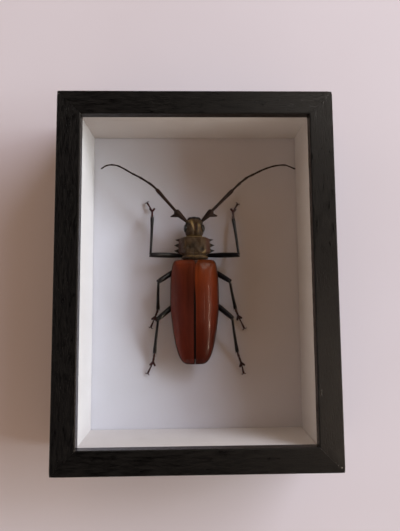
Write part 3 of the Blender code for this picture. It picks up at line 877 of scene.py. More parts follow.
@dataclass(frozen=True)
class WingCaseChitin:
    """The wing cases: hardened, varnished-looking chitin, orange-brown at the shoulders.

    It darkens to oxblood towards the tip, and has a black hem all round and a black seam. The
    mesh's marks give each point's share of the length, its distance from the edges, its wine tint, and the
    painted shade and painted light that darken or lighten it.
    """

    along: tuple[tuple[float, str], ...] = (
        (0.0, "76340F"), (0.16, "692A0C"), (0.40, "60220C"), (0.72, "5E1F0D"), (1.0, "581D0E"),
    )
    wine: str = "5B271E"
    hem: str = "120B09"
    seam_width: float = 0.45
    hem_width: float = 1.15
    wrinkle: float = 0.45  # the leathery net is finer, and is drawn coarser to show
    streak: Point = (1.0, 9.0, 3.0)
    cloud: float = 9.0
    fray: float = 2.0  # of the dark edges
    open_seam: Pair = (0.10, 0.38)  # shares of the length between which the seam grows dark
    roughness: float = 0.33

    def make(self) -> Material:
        """Mix the finish.

        Returns:
            The material.
        """
        mat = Recipe(
            "wing_case_chitin", self.roughness, Specular_IOR_Level=0.09, Coat_Weight=0.09,
            Coat_Roughness=0.08,
        )
        share = mat.mark("share")
        streaked = mat.add("Mapping", {"Vector": mat.place, "Scale": tuple(map(per_mm, self.streak))})
        streaks = mat.add("TexNoise", {"Vector": streaked, "Scale": 1.0, "Detail": 4.0, "Roughness": 0.55})
        clouds = mat.add("TexNoise", {"Scale": per_mm(self.cloud), "Detail": 3.0})
        shifted = mat.add("Math", {0: clouds, 1: 0.22, 2: share}, operation="MULTIPLY_ADD")
        bright = mat.add("ValToRGB", {"Fac": shifted}, stops=self.along)
        body = mat.add(
            "Mix", {"Factor": mat.mark("wine"), "A": bright, "B": linear(self.wine)}, data_type="RGBA"
        )
        light = mat.add(
            "MapRange",
            {"Value": streaks, "From Min": 0.25, "From Max": 0.75, "To Min": 0.82, "To Max": 1.14},
        )
        # The tone mark is painted shade and painted light, a factor on the colour
        toned = mat.add("Math", {0: light, 1: mat.mark("tone")}, operation="MULTIPLY")
        grained = mat.add("VectorMath", {0: body, "Scale": toned}, operation="SCALE")
        edge = mat.add("TexNoise", {"Scale": per_mm(self.fray)})
        ragged = mat.add("MapRange", {"Value": edge, "To Min": -0.25, "To Max": 0.25})
        start, end = self.open_seam
        open_end = mat.add(
            "MapRange", {"Value": share, "From Min": start, "From Max": end, "To Min": 0.9, "To Max": 0.0}
        )
        closing = mat.add("Math", {0: ragged, 1: open_end}, operation="ADD")
        seam = mat.add("Math", {0: mat.mark("from_seam"), 1: closing}, operation="ADD")
        hem = mat.add("Math", {0: mat.mark("from_hem"), 1: ragged}, operation="ADD")
        edges = (
            (seam, 0.45 * self.seam_width, 1.5 * self.seam_width),
            (hem, 0.6 * self.hem_width, 1.5 * self.hem_width),
        )
        near_seam, near_hem = (
            mat.add(
                "MapRange",
                {"Value": distance, "From Min": start, "From Max": end, "To Min": 1.0, "To Max": 0.0},
                interpolation_type="SMOOTHSTEP",
            )
            for distance, start, end in edges
        )
        dark = mat.add("Math", {0: near_seam, 1: near_hem}, operation="MAXIMUM")
        colour = mat.add("Mix", {"Factor": dark, "A": grained, "B": linear(self.hem)}, data_type="RGBA")
        net = mat.add("TexVoronoi", {"Scale": per_mm(self.wrinkle), "Detail": 1.0}, feature="SMOOTH_F1")
        height = mat.add("Math", {0: streaks, 1: 0.6, 2: net}, operation="MULTIPLY_ADD")
        bump = mat.add("Bump", {"Height": height, "Strength": 0.22, "Distance": 0.03 * MM})
        rough = mat.add(
            "MapRange", {"Value": clouds, "To Min": self.roughness - 0.05, "To Max": self.roughness + 0.09}
        )
        return mat.finish(Base_Color=colour, Roughness=rough, Normal=bump)


@dataclass(frozen=True)
class DownyChitin:
    """The neck shield and the head: dull, coarsely pitted chitin under a thin olive down.

    The mesh's marks say where the down is pale, where the chitin is bare and dark, and
    where it is rusty.
    """

    ground: str = "311E10"
    olive: str = "412B12"
    pale: str = "7A6039"
    rust: str = "42231A"
    bare: str = "0C0806"
    sheen: str = "A08A5C"
    pit: float = 0.55
    patch: float = 2.2
    roughness: float = 0.58

    def make(self) -> Material:
        """Mix the finish.

        Returns:
            The material.
        """
        mat = Recipe(
            "downy_brown_chitin", self.roughness, Specular_IOR_Level=0.35, Sheen_Weight=0.05,
            Sheen_Roughness=0.4,
        )
        mat.shader.inputs["Sheen Tint"].default_value = linear(self.sheen)
        patches = mat.add("TexNoise", {"Scale": per_mm(self.patch), "Detail": 5.0, "Roughness": 0.65})
        layered = mat.add("ValToRGB", {"Fac": patches}, stops=((0.32, self.ground), (0.66, self.olive)))
        for mark, tone in (("rust", self.rust), ("pale", self.pale), ("bare", self.bare)):
            amount = mat.add("Math", {0: mat.mark(mark), 1: 0.3}, operation="SUBTRACT")
            frayed = mat.add("Math", {0: patches, 1: 0.6, 2: amount}, operation="MULTIPLY_ADD")
            cover = mat.add("MapRange", {"Value": frayed, "From Min": 0.1, "From Max": 0.75})
            layered = mat.add("Mix", {"Factor": cover, "A": layered, "B": linear(tone)}, data_type="RGBA")
        pits = mat.add("TexVoronoi", {"Scale": per_mm(self.pit), "Detail": 1.0})
        pitted = mat.add("MapRange", {"Value": pits, "From Max": 0.45, "To Min": 0.5, "To Max": 1.08})
        colour = mat.add("VectorMath", {0: layered, "Scale": pitted}, operation="SCALE")
        deep = mat.add("MapRange", {"Value": pits, "From Max": 0.5})
        height = mat.add("Math", {0: patches, 1: 0.8, 2: deep}, operation="MULTIPLY_ADD")
        bump = mat.add("Bump", {"Height": height, "Strength": 0.7, "Distance": 0.12 * MM})
        return mat.finish(Base_Color=colour, Normal=bump)


@dataclass(frozen=True)
class PolishedChitin:
    """Bare chitin of the limbs, jaws and belly: near black, smooth and glossy, finely pricked.

    With redder colours and more roughness it makes the feet and the antennae.
    """

    name: str
    dark: str
    light: str
    roughness: float
    coat: float = 0.14
    prick: float = 0.4  # the hair pores are finer, and are drawn coarser to show
    prick_depth: float = 0.05
    cloud: float = 2.5

    def make(self) -> Material:
        """Mix the finish.

        Returns:
            The material.
        """
        mat = Recipe(
            self.name, self.roughness, Specular_IOR_Level=0.24, Coat_Weight=self.coat, Coat_Roughness=0.12
        )
        tint = mat.add("TexNoise", {"Scale": per_mm(self.cloud), "Detail": 4.0, "Roughness": 0.6})
        shade = mat.add("ValToRGB", {"Fac": tint}, stops=((0.38, self.dark), (0.70, self.light)))
        pricks = mat.add("TexVoronoi", {"Scale": per_mm(self.prick)})
        deep = mat.add("MapRange", {"Value": pricks, "From Max": 0.4})
        bump = mat.add("Bump", {"Height": deep, "Strength": 0.5, "Distance": self.prick_depth * MM})
        rough = mat.add(
            "MapRange", {"Value": tint, "To Min": self.roughness - 0.07, "To Max": self.roughness + 0.12}
        )
        return mat.finish(Base_Color=shade, Roughness=rough, Normal=bump)


@dataclass(frozen=True)
class EyeFacets:
    """The eyes: hundreds of six-sided lenses, black and wet-looking."""

    colour: str = "0A0807"
    gleam: str = "1C1512"
    facet: float = 0.16  # a real lens is a quarter of this, which is too fine to show

    def make(self) -> Material:
        """Mix the finish.

        Returns:
            The material.
        """
        mat = Recipe("faceted_eye", 0.4, IOR=1.5, Coat_Weight=0.15, Coat_Roughness=0.2)
        lenses = mat.add("TexVoronoi", {"Scale": per_mm(self.facet), "Randomness": 0.25})
        shade = mat.add("ValToRGB", {"Fac": lenses}, stops=((0.1, self.gleam), (0.5, self.colour)))
        bump = mat.add("Bump", {"Height": lenses, "Strength": 0.6, "Distance": 0.04 * MM}, invert=True)
        return mat.finish(Base_Color=shade, Normal=bump)


@dataclass(frozen=True)
class GoldenDown:
    """Short golden-brown hairs, stiff and slightly glossy."""

    dark: str = "33240F"
    light: str = "665026"
    lock: float = 1.5

    def make(self) -> Material:
        """Mix the finish.

        Returns:
            The material.
        """
        mat = Recipe("golden_down", 0.5)
        locks = mat.add("TexNoise", {"Scale": per_mm(self.lock), "Detail": 3.0})
        shade = mat.add("ValToRGB", {"Fac": locks}, stops=((0.35, self.dark), (0.65, self.light)))
        return mat.finish(Base_Color=shade)


# The box


@dataclass
class BoxFrame:
    """Four mitred rails of a rebated moulding, with slightly knocked outer corners."""

    arris: float = 0.7 * MM
    arris_steps: int = 6
    stations: int = 72
    crowding: float = 0.85  # of the stations towards the mitres
    grain_shift: float = 17.0  # in the grain's own millimetres, so that no two rails are alike
    wear_reach: float = 3.2 * MM  # from an outer corner
    wear_depth: float = 0.4 * MM
    wear_fall: float = 0.8  # how far the rubbed corner goes back for each step inwards
    face_rows: int = 8
    wall_rows: int = 12
    # How smooth the foil was pressed on the lip's inner face, 0 to 1; the same number lays painted light on
    # that face, least on the top rail, whose lip faces away from the lamps
    lip_polish_and_painted_light: dict[RailSide, float] = field(
        default_factory=lambda: dict(zip(RailSide, (0.85, 0.70, 0.1, 1.0)))
    )

    def profile(self) -> list[Pair]:
        """The moulding's section.

        Returns:
            Points (inwards, up) in metres, from its outer back edge, around the front.
        """

        def arris(corner: float, start: float) -> list[Pair]:
            """A rounded front edge.

            Args:
                corner: How far inwards its corner would be.
                start: Where its arc starts, in degrees.

            Returns:
                Its points.
            """
            inset = copysign(self.arris, FACE_WIDTH / 2 - corner)
            middle = (corner + inset, DEPTH - self.arris)
            turns = [radians(start - 90 * k / self.arris_steps) for k in range(self.arris_steps + 1)]
            return [
                (middle[0] + self.arris * cos(a), middle[1] + self.arris * sin(a)) for a in turns
            ]

        corners = [
            (0.0, 0.0), *arris(0.0, 180), *arris(FACE_WIDTH, 90),
            (FACE_WIDTH, DEPTH - LIP), (WALL, DEPTH - LIP), (WALL, 0.0),
        ]
        points = []
        for start, end in zip(corners, corners[1:] + corners[:1]):
            reach = dist(start, end)
            pitch = DEPTH / self.wall_rows if reach > FACE_WIDTH else FACE_WIDTH / self.face_rows
            count = max(1, round(reach / pitch))
            points += [
                (start[0] + (end[0] - start[0]) * k / count, start[1] + (end[1] - start[1]) * k / count)
                for k in range(count)
            ]
        return points

    def worn(self, point: Vector, half: float) -> Vector:
        """Rub a point back where it is near the rail's outer front corners.

        Args:
            point: A point of the rail, in metres of its own frame.
            half: Half the rail's length.

        Returns:
            The point, moved towards the rail's middle.
        """
        corner = Vector((copysign(half, point.x), 0, DEPTH))
        away = (point - corner).length
        if away >= self.wear_reach:
            return point
        roughly = 0.7 + 0.6 * noise.noise(point * per_mm(1.1))
        depth = self.wear_depth * (1 - away / self.wear_reach) ** 2 * roughly
        inwards = Vector((-copysign(1, point.x), 1, -self.wear_fall)).normalized()
        return point + inwards * depth

    def rail_mesh(self, side: RailSide) -> Mesh:
        """One rail along X with its outer face on Y = 0.

        Args:
            side: Which rail.

        Returns:
            The mesh, with the grain's course (along, around) in millimetres on its points, and
            with the inner face of its lip marked for its smoother finish and its painted light.
        """
        half = side.length / 2 - MITRE_GAP / 2 * sqrt(2)
        section = self.profile()
        skin = Skin("lip")
        grain = skin.bm.verts.layers.float_vector.new("grain")
        around = [0.0]
        for start, end in zip(section, section[1:]):
            around.append(around[-1] + dist(start, end) / MM)
        rows = []
        for share in shares(self.stations, self.crowding):
            row = []
            for (inwards, up), turn in zip(section, around):
                x = (2 * share - 1) * (half - inwards)
                on_lip = isclose(inwards, FACE_WIDTH, abs_tol=0.01 * MM)
                polish_and_painted_light = self.lip_polish_and_painted_light[side] if on_lip else 0.0
                vertex = skin.point(self.worn(Vector((x, inwards, up)), half), {"lip": polish_and_painted_light})
                vertex[grain] = Vector((x / MM, turn, self.grain_shift * side.value[2]))
                row.append(vertex)
            rows.append(row)
        skin.join(rows)
        skin.bm.faces.new(rows[0])
        skin.bm.faces.new(rows[-1])
        return skin.mesh("rail_" + side.word)

    def build(self, bench: Bench) -> None:
        """Make and dress the four rails.

        Args:
            bench: Where the pieces go.
        """
        foil = OakFoil().make()
        for side in RailSide:
            mesh = self.rail_mesh(side)
            rail = bench.add(
                f"{side.word}_rail", mesh, foil, "black_moulding", f"rail_{side.word}", side.place, 35
            )
            flat = rail.modifiers.new("flat_faces", "WEIGHTED_NORMAL")
            flat.keep_sharp = True


@dataclass
class Slab:
    """A flat piece cut from sheet: its softened edges, and how far it is from dead flat."""

    node: str
    edge: float  # metres
    bow: float  # metres
    cell: float  # metres between the points of its mesh
    seed: float
    left: float = 0.0  # metres past its solid to the left
    right: float = 0.0  # metres past its solid to the right
    wave: float = 40.0  # millimetres, from one bulge of its bow to the next

    def mesh(self) -> Mesh:
        """The sheet in the place of its solid.

        Returns:
            A fine box with bevelled edges, bowed a little within the solid's own box.
        """
        low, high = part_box(self.node)
        low.x -= self.left
        high.x += self.right
        size = high - low
        bm = bmesh.new()
        place = Matrix.Translation((low + high) / 2) @ Matrix.Diagonal((*size, 1))
        bmesh.ops.create_cube(bm, size=1.0, matrix=place)
        bmesh.ops.bevel(bm, geom=bm.edges, offset=self.edge, segments=2, profile=0.5, affect="EDGES")
        for axis in range(3):
            cuts = int(size[axis] / self.cell)
            for k in range(1, cuts):
                spot = low.copy()
                spot[axis] += size[axis] * k / cuts
                normal = Matrix.Identity(3)[axis]
                geometry = bm.verts[:] + bm.edges[:] + bm.faces[:]
                bmesh.ops.bisect_plane(bm, geom=geometry, plane_co=spot, plane_no=normal)
        thin = min(range(3), key=lambda i: size[i])
        for vertex in bm.verts:
            bulge = noise.noise(vertex.co * per_mm(self.wave) + Vector((self.seed, 0, 0)))
            vertex.co[thin] += self.bow * bulge
        return finished(bm, self.node)


@dataclass
class Filling:
    """What lies in the rails: the glass, the four liner strips, the card and the board."""

    edge: float = 0.12 * MM
    bow: float = 0.09 * MM
    cell: float = 8.0 * MM
    seed_step: float = 3.7  # from sheet to sheet, so that no two bow alike
    joint: float = 0.35 * MM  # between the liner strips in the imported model; most are pushed tight

    def build(self, bench: Bench) -> None:
        """Make and dress the sheets.

        Args:
            bench: Where the pieces go.
        """
        paper = WhiteBoard("white_liner_board", "CEC7C4", "C8C1BE").make()
        card = WhiteBoard("white_mounting_card", "D9D8DF", "D3D2D8", 0.5, 22.0, 0.7).make()
        glass = FloatGlass().make()
        sheets = (
            ("glass_pane", "front_glass", glass, "clear_glass"),
            ("mounting_card", "card", card, "white_card"),
            ("back_board", "board", Hardboard().make(), "hardboard"),
            ("liner_left", "left_liner", paper, "white_liner"),
            ("liner_right", "right_liner", paper, "white_liner"),
            ("liner_top", "top_liner", paper, "white_liner", self.joint, self.joint),
            ("liner_bottom", "bottom_liner", paper, "white_liner", self.joint),
        )
        for k, (node, name, material, slot, *reach) in enumerate(sheets):
            bow = 0.0 if material is glass else self.bow
            mesh = Slab(node, self.edge, bow, self.cell, self.seed_step * k, *reach).mesh()
            piece = bench.add(name, mesh, material, slot, node, smooth_angle=20)
            if material is glass:
                # The pane is seen, but the light inside passes it as if it weren't there
                piece.visible_shadow = piece.visible_diffuse = piece.visible_glossy = False


@dataclass
class Fittings:
    """The metal points that hold the board, and the sawtooth hanger on it."""

    softened: float = 0.12 * MM
    nodes: tuple[str, ...] = tuple(f"fixing_point_{k}" for k in range(1, 7)) + ("hanger",)

    def build(self, frame: dict) -> None:
        """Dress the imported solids: their shape is right, so they stay.
        """
        zinc = ZincPlate().make()
        for name in self.nodes:
            node = frame["nodes"][name]
            node.data.materials.clear()
            node.data.materials.append(zinc)
            soften = node.modifiers.new("broken_edges", "BEVEL")
            soften.width = self.softened
            soften.segments = 2
            soften.limit_method = "ANGLE"
            soften.angle_limit = radians(50)
            log.info("%s: dressed", name)


# The beetle


def on_side(side: Side, point: Point) -> Vector:
    """A point that is given for the right side, on this side of the beetle."""
    return Vector((side.value * point[0], *point[1:]))


ELYTRA_BASE_Y = 10.7
ELYTRA_LENGTH = 60.7
ELYTRON_HALF_WIDTH: Rows = (
    (0.00, 11.1), (0.015, 12.0), (0.05, 12.9), (0.12, 13.6), (0.25, 14.1), (0.40, 14.2), (0.57, 13.5),
    (0.72, 12.2), (0.85, 10.6), (0.93, 8.95), (0.97, 7.45), (0.99, 6.05), (1.00, 4.3),
)
ELYTRON_CREST: Rows = (
    (0.00, 15.2), (0.05, 17.1), (0.25, 18.4), (0.55, 17.8), (0.80, 14.5), (0.94, 12.1), (1.00, 9.6),
)
ELYTRON_MARGIN: Rows = ((0.00, 9.6), (0.30, 8.9), (0.80, 8.3), (1.00, 8.2))


@dataclass(frozen=True)
class CasePaintedShadeAndWine:
    """Painted shade and painted light on a wing case, and how wine-red it is, by the share of its length and
    the edges.
    """

    seam: Band  # painted shade: how much darker it is by the seam
    seam_from: Pair  # shares of the length between which that sets in
    hem: Band  # painted light: how much lighter it is by the hem, or painted shade that darkens it there where the strength is below 0
    seam_most: float = 1.0
    hem_fade: float = 0.0  # how much of the hem's band is lost towards the tip
    hem_fades: Pair = (0.75, 0.95)
    # Painted light: how much lighter it is towards the tip
    painted_tip_light: float = 0.0
    tip_from: Pair = (0.35, 0.80)
    wine: float = 0.0
    more_wine: Band = Band(0.0, 0.55, 0.3)

    def at(self, share: float, from_seam: float, from_hem: float) -> float:
        """A factor on its colour at a point: painted shade below 1 and painted light above 1.

        Args:
            share: Share of the length.
            from_seam: Distance from the inner edge.
            from_hem: Distance from the outer edge.

        Returns:
            The factor.
        """
        light = self.painted_tip_light * ramp(share, *self.tip_from)
        seam = min(self.seam_most, self.seam.at(from_seam) * ramp(share, *self.seam_from))
        hem = self.hem.at(from_hem) * (1 - self.hem_fade * ramp(share, *self.hem_fades))
        return 1 + light - seam + hem


# Painted shade and light of each case: the left one darker by the seam and lighter by the hem and towards
# the tip, the right one darker towards the hem
CASE_PAINTED_SHADE_AND_WINE = {
    Side.LEFT: CasePaintedShadeAndWine(
        Band(0.95, 0.0, 4.6), (-1.0, 0.0), Band(0.2, 4.0, 3.0), seam_most=0.52, painted_tip_light=0.45,
        wine=0.35, more_wine=Band(0.4, 0.55, 0.3),
    ),
    Side.RIGHT: CasePaintedShadeAndWine(Band(0.26, 4.0, 7.0), (0.2, 0.5), Band(-0.46, 2.5, 3.8), hem_fade=0.8),
}


@dataclass
class WingCase:
    """One wing case: a domed sheet with a rolled hem, a raised seam edge and a shoulder boss."""

    side: Side
    arch: float = 0.77  # 1 is a half ellipse across; less is flatter on top and steeper at the side
    sheet: float = 0.5
    seam_gap: float = 0.15  # half of it, past where the seam is tight
    tight_to: Pair = (0.10, 0.38)  # shares of the length between which it opens
    tight_gap: float = 0.02
    tip_gap: float = 0.3
    tip_parts: float = 0.98
    notch: Pair = (1.55, 3.1)  # half width and length of the scutellum's notch
    # The seam's lean towards +X at the base, and the share of the length where it ends
    lean: Pair = (0.85, 0.22)
    rows: int = 150
    columns: int = 44
    probe: float = 0.002  # share of the length to each side of a point, for its slope
    end_hems: Pair = (1.25, 0.85)  # how much narrower the hem is at the base and the tip
    rolled_edge: Band = Band(0.22, 0.0, 0.5)
    gutter: Band = Band(-0.10, 1.5, 0.6)
    seam_ridge: Band = Band(0.10, 0.0, 0.45)
    seam_groove: Band = Band(-0.05, 1.2, 0.4)
    # Faint ribs by the share of the way across, and where along the length they fade and end
    ribs: tuple[Band, ...] = (Band(0.05, 0.30, 0.022), Band(0.07, 0.52, 0.022), Band(0.04, 0.70, 0.022))
    rib_pace: float = 1.12
    rib_end: float = 0.89
    # Bosses and dips by the share of the length (x) and the share of the way across (y)
    bosses: tuple[Spot, ...] = (
        Spot(0.050, 0.70, 0.035, 0.13, 0.55),
        Spot(0.045, 0.38, 0.030, 0.14, -0.30),
        Spot(0.120, 0.20, 0.060, 0.12, 0.15),
    )
    dents: Rows = ((0.05, 0.16), (0.012, 0.9))  # their height, and how many in a millimetre
    rounding: float = 0.12

    def inner_edge(self, share: float) -> float:
        """Distance of the inner edge from the middle line.

        Args:
            share: Share of the wing case's length, from its base.

        Returns:
            Millimetres: wide at the scutellum, and again at the tip.
        """
        half_width, length = self.notch
        notch = half_width * (1 - share * ELYTRA_LENGTH / length)
        parting = max(0.0, (share - self.tip_parts) / (1 - self.tip_parts)) ** 2
        opening = ramp(share, *self.tight_to)
        gap = self.tight_gap + (self.seam_gap - self.tight_gap) * opening
        lean, reach = self.lean
        aside = self.side.value * lean * max(0.0, 1 - share / reach) ** 2
        return max(notch, gap + (self.tip_gap - gap) * parting) + aside

    def smooth_point(self, share: float, turn: float) -> Vector:
        """A point of the dome without its relief.

        Args:
            share: Share of the length.
            turn: 0 at the seam and 1 at the hem.

        Returns:
            The point of the right wing case.
        """
        angle = turn * QUARTER
        inner = self.inner_edge(share)
        margin = curve_value(ELYTRON_MARGIN, share)
        x = inner + (curve_value(ELYTRON_HALF_WIDTH, share) - inner) * sin(angle) ** self.arch
        z = margin + (curve_value(ELYTRON_CREST, share) - margin) * cos(angle)
        return Vector((x, ELYTRA_BASE_Y - share * ELYTRA_LENGTH, z))

    def normal(self, share: float, turn: float, line: Ring, k: int) -> Vector:
        """Which way the smooth dome faces at a point.

        Args:
            share: Share of the length.
            turn: 0 at the seam and 1 at the hem.
            line: The points across the dome at this share.
            k: Which of them it is.

        Returns:
            The unit normal, upwards.
        """
        ahead = self.smooth_point(min(share + self.probe, 1), turn)
        back = self.smooth_point(max(share - self.probe, 0), turn)
        outer = line[min(k + 1, len(line) - 1)]
        inner = line[max(k - 1, 0)]
        normal = (outer - inner).cross(ahead - back)
        normal = normal.normalized() if normal.length > 0 else Vector((0, 0, 1))
        return -normal if normal.z < 0 else normal

    def relief(
        self, share: float, across: float, from_seam: float, from_hem: float, place: Vector
    ) -> float:
        """Height of a point over the smooth dome.

        Args:
            share: Share of the length.
            across: Share of the way across, by distance along the skin.
            from_seam: Distance from the inner edge.
            from_hem: Distance from the outer edge.
            place: The point.

        Returns:
            Millimetres along the normal.
        """
        height = self.rolled_edge.at(from_hem) + self.gutter.at(from_hem)
        height += self.seam_ridge.at(from_seam) + self.seam_groove.at(from_seam)
        fading = sin(pi * share * self.rib_pace) ** 0.7 if share < self.rib_end else 0.0
        height += fading * sum(rib.at(across) for rib in self.ribs)
        height += sum(boss.at(share, across) for boss in self.bosses)
        return height + sum(rise * noise.noise(place * rate) for rise, rate in self.dents)

    def mesh(self) -> Mesh:
        """The outer skin with its relief.

        Returns:
            The mesh, with the marks that the finish reads.
        """
        turns = shares(self.columns, crowding=0.35)
        # The tone mark carries the case's painted shade and painted light
        skin = Skin("share", "from_seam", "from_hem", "tone", "wine")
        tone = CASE_PAINTED_SHADE_AND_WINE[self.side]
        rows = []
        for share in shares(self.rows, crowding=0.55):
            line = [self.smooth_point(share, turn) for turn in turns]
            run = [0.0]
            for a, b in zip(line, line[1:]):
                run.append(run[-1] + (b - a).length)
            to_end = min(share, 1 - share) * ELYTRA_LENGTH + self.end_hems[share >= 0.5]
            wine = tone.wine + tone.more_wine.at(share)
            row = []
            for k, (turn, place) in enumerate(zip(turns, line)):
                from_hem = min(run[-1] - run[k], to_end)
                height = self.relief(share, run[k] / run[-1], run[k], from_hem, place)
                point = place + self.normal(share, turn, line, k) * height
                marks = {"share": share, "from_seam": run[k], "from_hem": from_hem, "wine": wine}
                # Painted shade and painted light, as a factor on the colour
                marks["tone"] = tone.at(share, run[k], from_hem)
                row.append(skin.point(on_side(self.side, point[:]), marks))
            rows.append(row)
        skin.join(rows, closed=False)
        mesh = skin.mesh(f"wing_case_{self.side.word}")
        if sum(polygon.normal.z for polygon in mesh.polygons) < 0:
            mesh.flip_normals()
        return mesh

    def build(self, bench: Bench, chitin: Material) -> None:
        """Make the wing case and thicken it inwards.

        Args:
            bench: Where the pieces go.
            chitin: Its finish.
        """
        word = self.side.word
        case = bench.add(
            f"{word}_wing_case", self.mesh(), chitin, "wing_case", f"elytron_{word}", bench.beetle, 60
        )
        sheet = case.modifiers.new("sheet", "SOLIDIFY")
        sheet.thickness = self.sheet * MM
        sheet.offset = -1
        rounding = case.modifiers.new("rounded_edge", "BEVEL")
        rounding.width = self.rounding * MM
        rounding.segments = 2
        rounding.limit_method = "ANGLE"
        rounding.angle_limit = radians(55)


@dataclass
class Trunk:
    """The thorax and abdomen under the wing cases, and the little shield between their bases."""

    reach: float = 0.945
    setback: float = 0.6
    inset: float = 1.9
    sink: float = 1.5
    lift: float = 0.4
    clearance: float = 0.35
    tail_rise: float = 3.0
    keel: float = 2.6
    # Grooves between the belly's rings, by the share of the length
    grooves: tuple[Band, ...] = tuple(Band(0.04, at, 0.01) for at in (0.30, 0.46, 0.60, 0.72, 0.83, 0.92))
    scutellum: Pair = (1.2, 2.5)  # half width and length
    scutellum_x: float = 0.75
    scutellum_foot: float = 11.0
    # Its layers: their height over its foot, and their size
    scutellum_layers: Rows = ((0.0, 1.0), (4.0, 1.0), (4.2, 0.9), (4.3, 0.6), (4.35, 0.2))
    scutellum_points: int = 24
    scutellum_bulge: float = 0.12
    scutellum_slope: float = 0.35  # its rise towards the tail, in the upper layers

    def shape(self, share: float, angle: float) -> Vector:
        """A point of the skin: full under the wing cases, keeled below, ringed, tapering to the tail.

        Args:
            share: 0 to 1 from pole to pole.
            angle: Around the body, from +X upwards.

        Returns:
            The point.
        """
        along, fullness = ring_of_body(share, crowding=0.75, bluntness=0.35)
        place = along * self.reach
        level = curve_value(ELYTRON_MARGIN, place) + self.lift
        fullness *= 1 - sum(groove.at(along) for groove in self.grooves)
        half_width = (curve_value(ELYTRON_HALF_WIDTH, place) - self.inset) * fullness
        rise = (curve_value(ELYTRON_CREST, place) - level - self.sink) * fullness
        drop = (level - self.clearance - self.tail_rise * place**2) * fullness
        x = half_width * signed_power(cos(angle), 0.8)
        y = ELYTRA_BASE_Y - self.setback - place * ELYTRA_LENGTH
        if sin(angle) >= 0:
            return Vector((x, y, level + rise * sin(angle)))
        return Vector((x, y, level - drop * abs(sin(angle)) ** self.keel))

    def shield_rings(self) -> list[Ring]:
        """Shape the scutellum: three-cornered, with a domed, sloping top.

        Returns:
            Its rings, stacked upwards.
        """
        half_width, length = self.scutellum
        front = ELYTRA_BASE_Y - 0.3
        aside = self.scutellum_x
        corners = (
            Vector((aside - half_width, front)), Vector((aside + half_width, front)),
            Vector((aside - 0.1, front - length)),
        )
        centre = sum(corners, Vector((0, 0))) / 3
        rings = []
        for rise, size in self.scutellum_layers:
            ring = []
            for k in range(self.scutellum_points):
                share = 3 * k / self.scutellum_points
                i = int(share)
                edge = corners[i].lerp(corners[(i + 1) % 3], share - i)
                bulge = 1 + self.scutellum_bulge * sin(pi * (share - i))
                spot = centre + (edge - centre) * bulge * size
                slope = self.scutellum_slope * (front - spot.y) if rise > 0 else 0.0
                ring.append(Vector((*spot, self.scutellum_foot + rise + slope)))
            rings.append(ring)
        return rings

    def build(self, bench: Bench, black: Material, brown: Material) -> None:
        """Make and dress the body and the scutellum.

        Args:
            bench: Where the pieces go.
            black: Finish of the body.
            brown: Finish of the scutellum.
        """
        belly = Skin()
        belly.loft(body_rings(self.shape, around=48, along=110))
        bench.add("belly", belly.mesh("belly"), black, "black_cuticle", "underbody", bench.beetle)
        shield = Skin("pale", "rust", "bare")
        shield.loft(self.shield_rings(), pale=0.1, rust=0.9, bare=0.15)
        bench.add("scutellum", shield.mesh("scutellum"), brown, "brown_cuticle", "underbody", bench.beetle)


class Shell:
    """A wrinkled, downy piece of the beetle, which says itself where it is pale, rusty and bare."""

    voxel: float
    smoothing: int

    def wrinkle(self, place: Vector, normal: Vector) -> float:
        """Height of the wrinkles; the underside stays smooth.

        Args:
            place: A point of the skin.
            normal: Which way the skin faces there.

        Returns:
            Millimetres along the normal.
        """
        coarse = noise.noise(place * 0.75)
        fine = noise.noise(place * 1.9 + Vector((7, 3, 1)))
        return (0.11 * coarse + 0.07 * fine) * max(0.0, normal.z)

    def add(self, bench: Bench, skin: Skin, name: str, node: str, brown: Material) -> Mesh:
        """Fuse the skins, wrinkle them, mark their down and bare chitin, and add the piece.

        Args:
            bench: Where the pieces go.
            skin: The overlapping skins.
            name: The piece's name.
            node: The solid that it stands for.
            brown: Its finish.

        Returns:
            Its mesh, for the down to grow on.
        """
        mesh = fused(skin.mesh(name), self.voxel, self.smoothing)
        push_out(mesh, self.wrinkle)
        for mark, value in (("pale", self.pale), ("rust", self.rust), ("bare", self.bare)):
            paint(mesh, mark, value)
        bench.add(name, mesh, brown, "brown_cuticle", node, bench.beetle, smooth_angle=180)
        return mesh


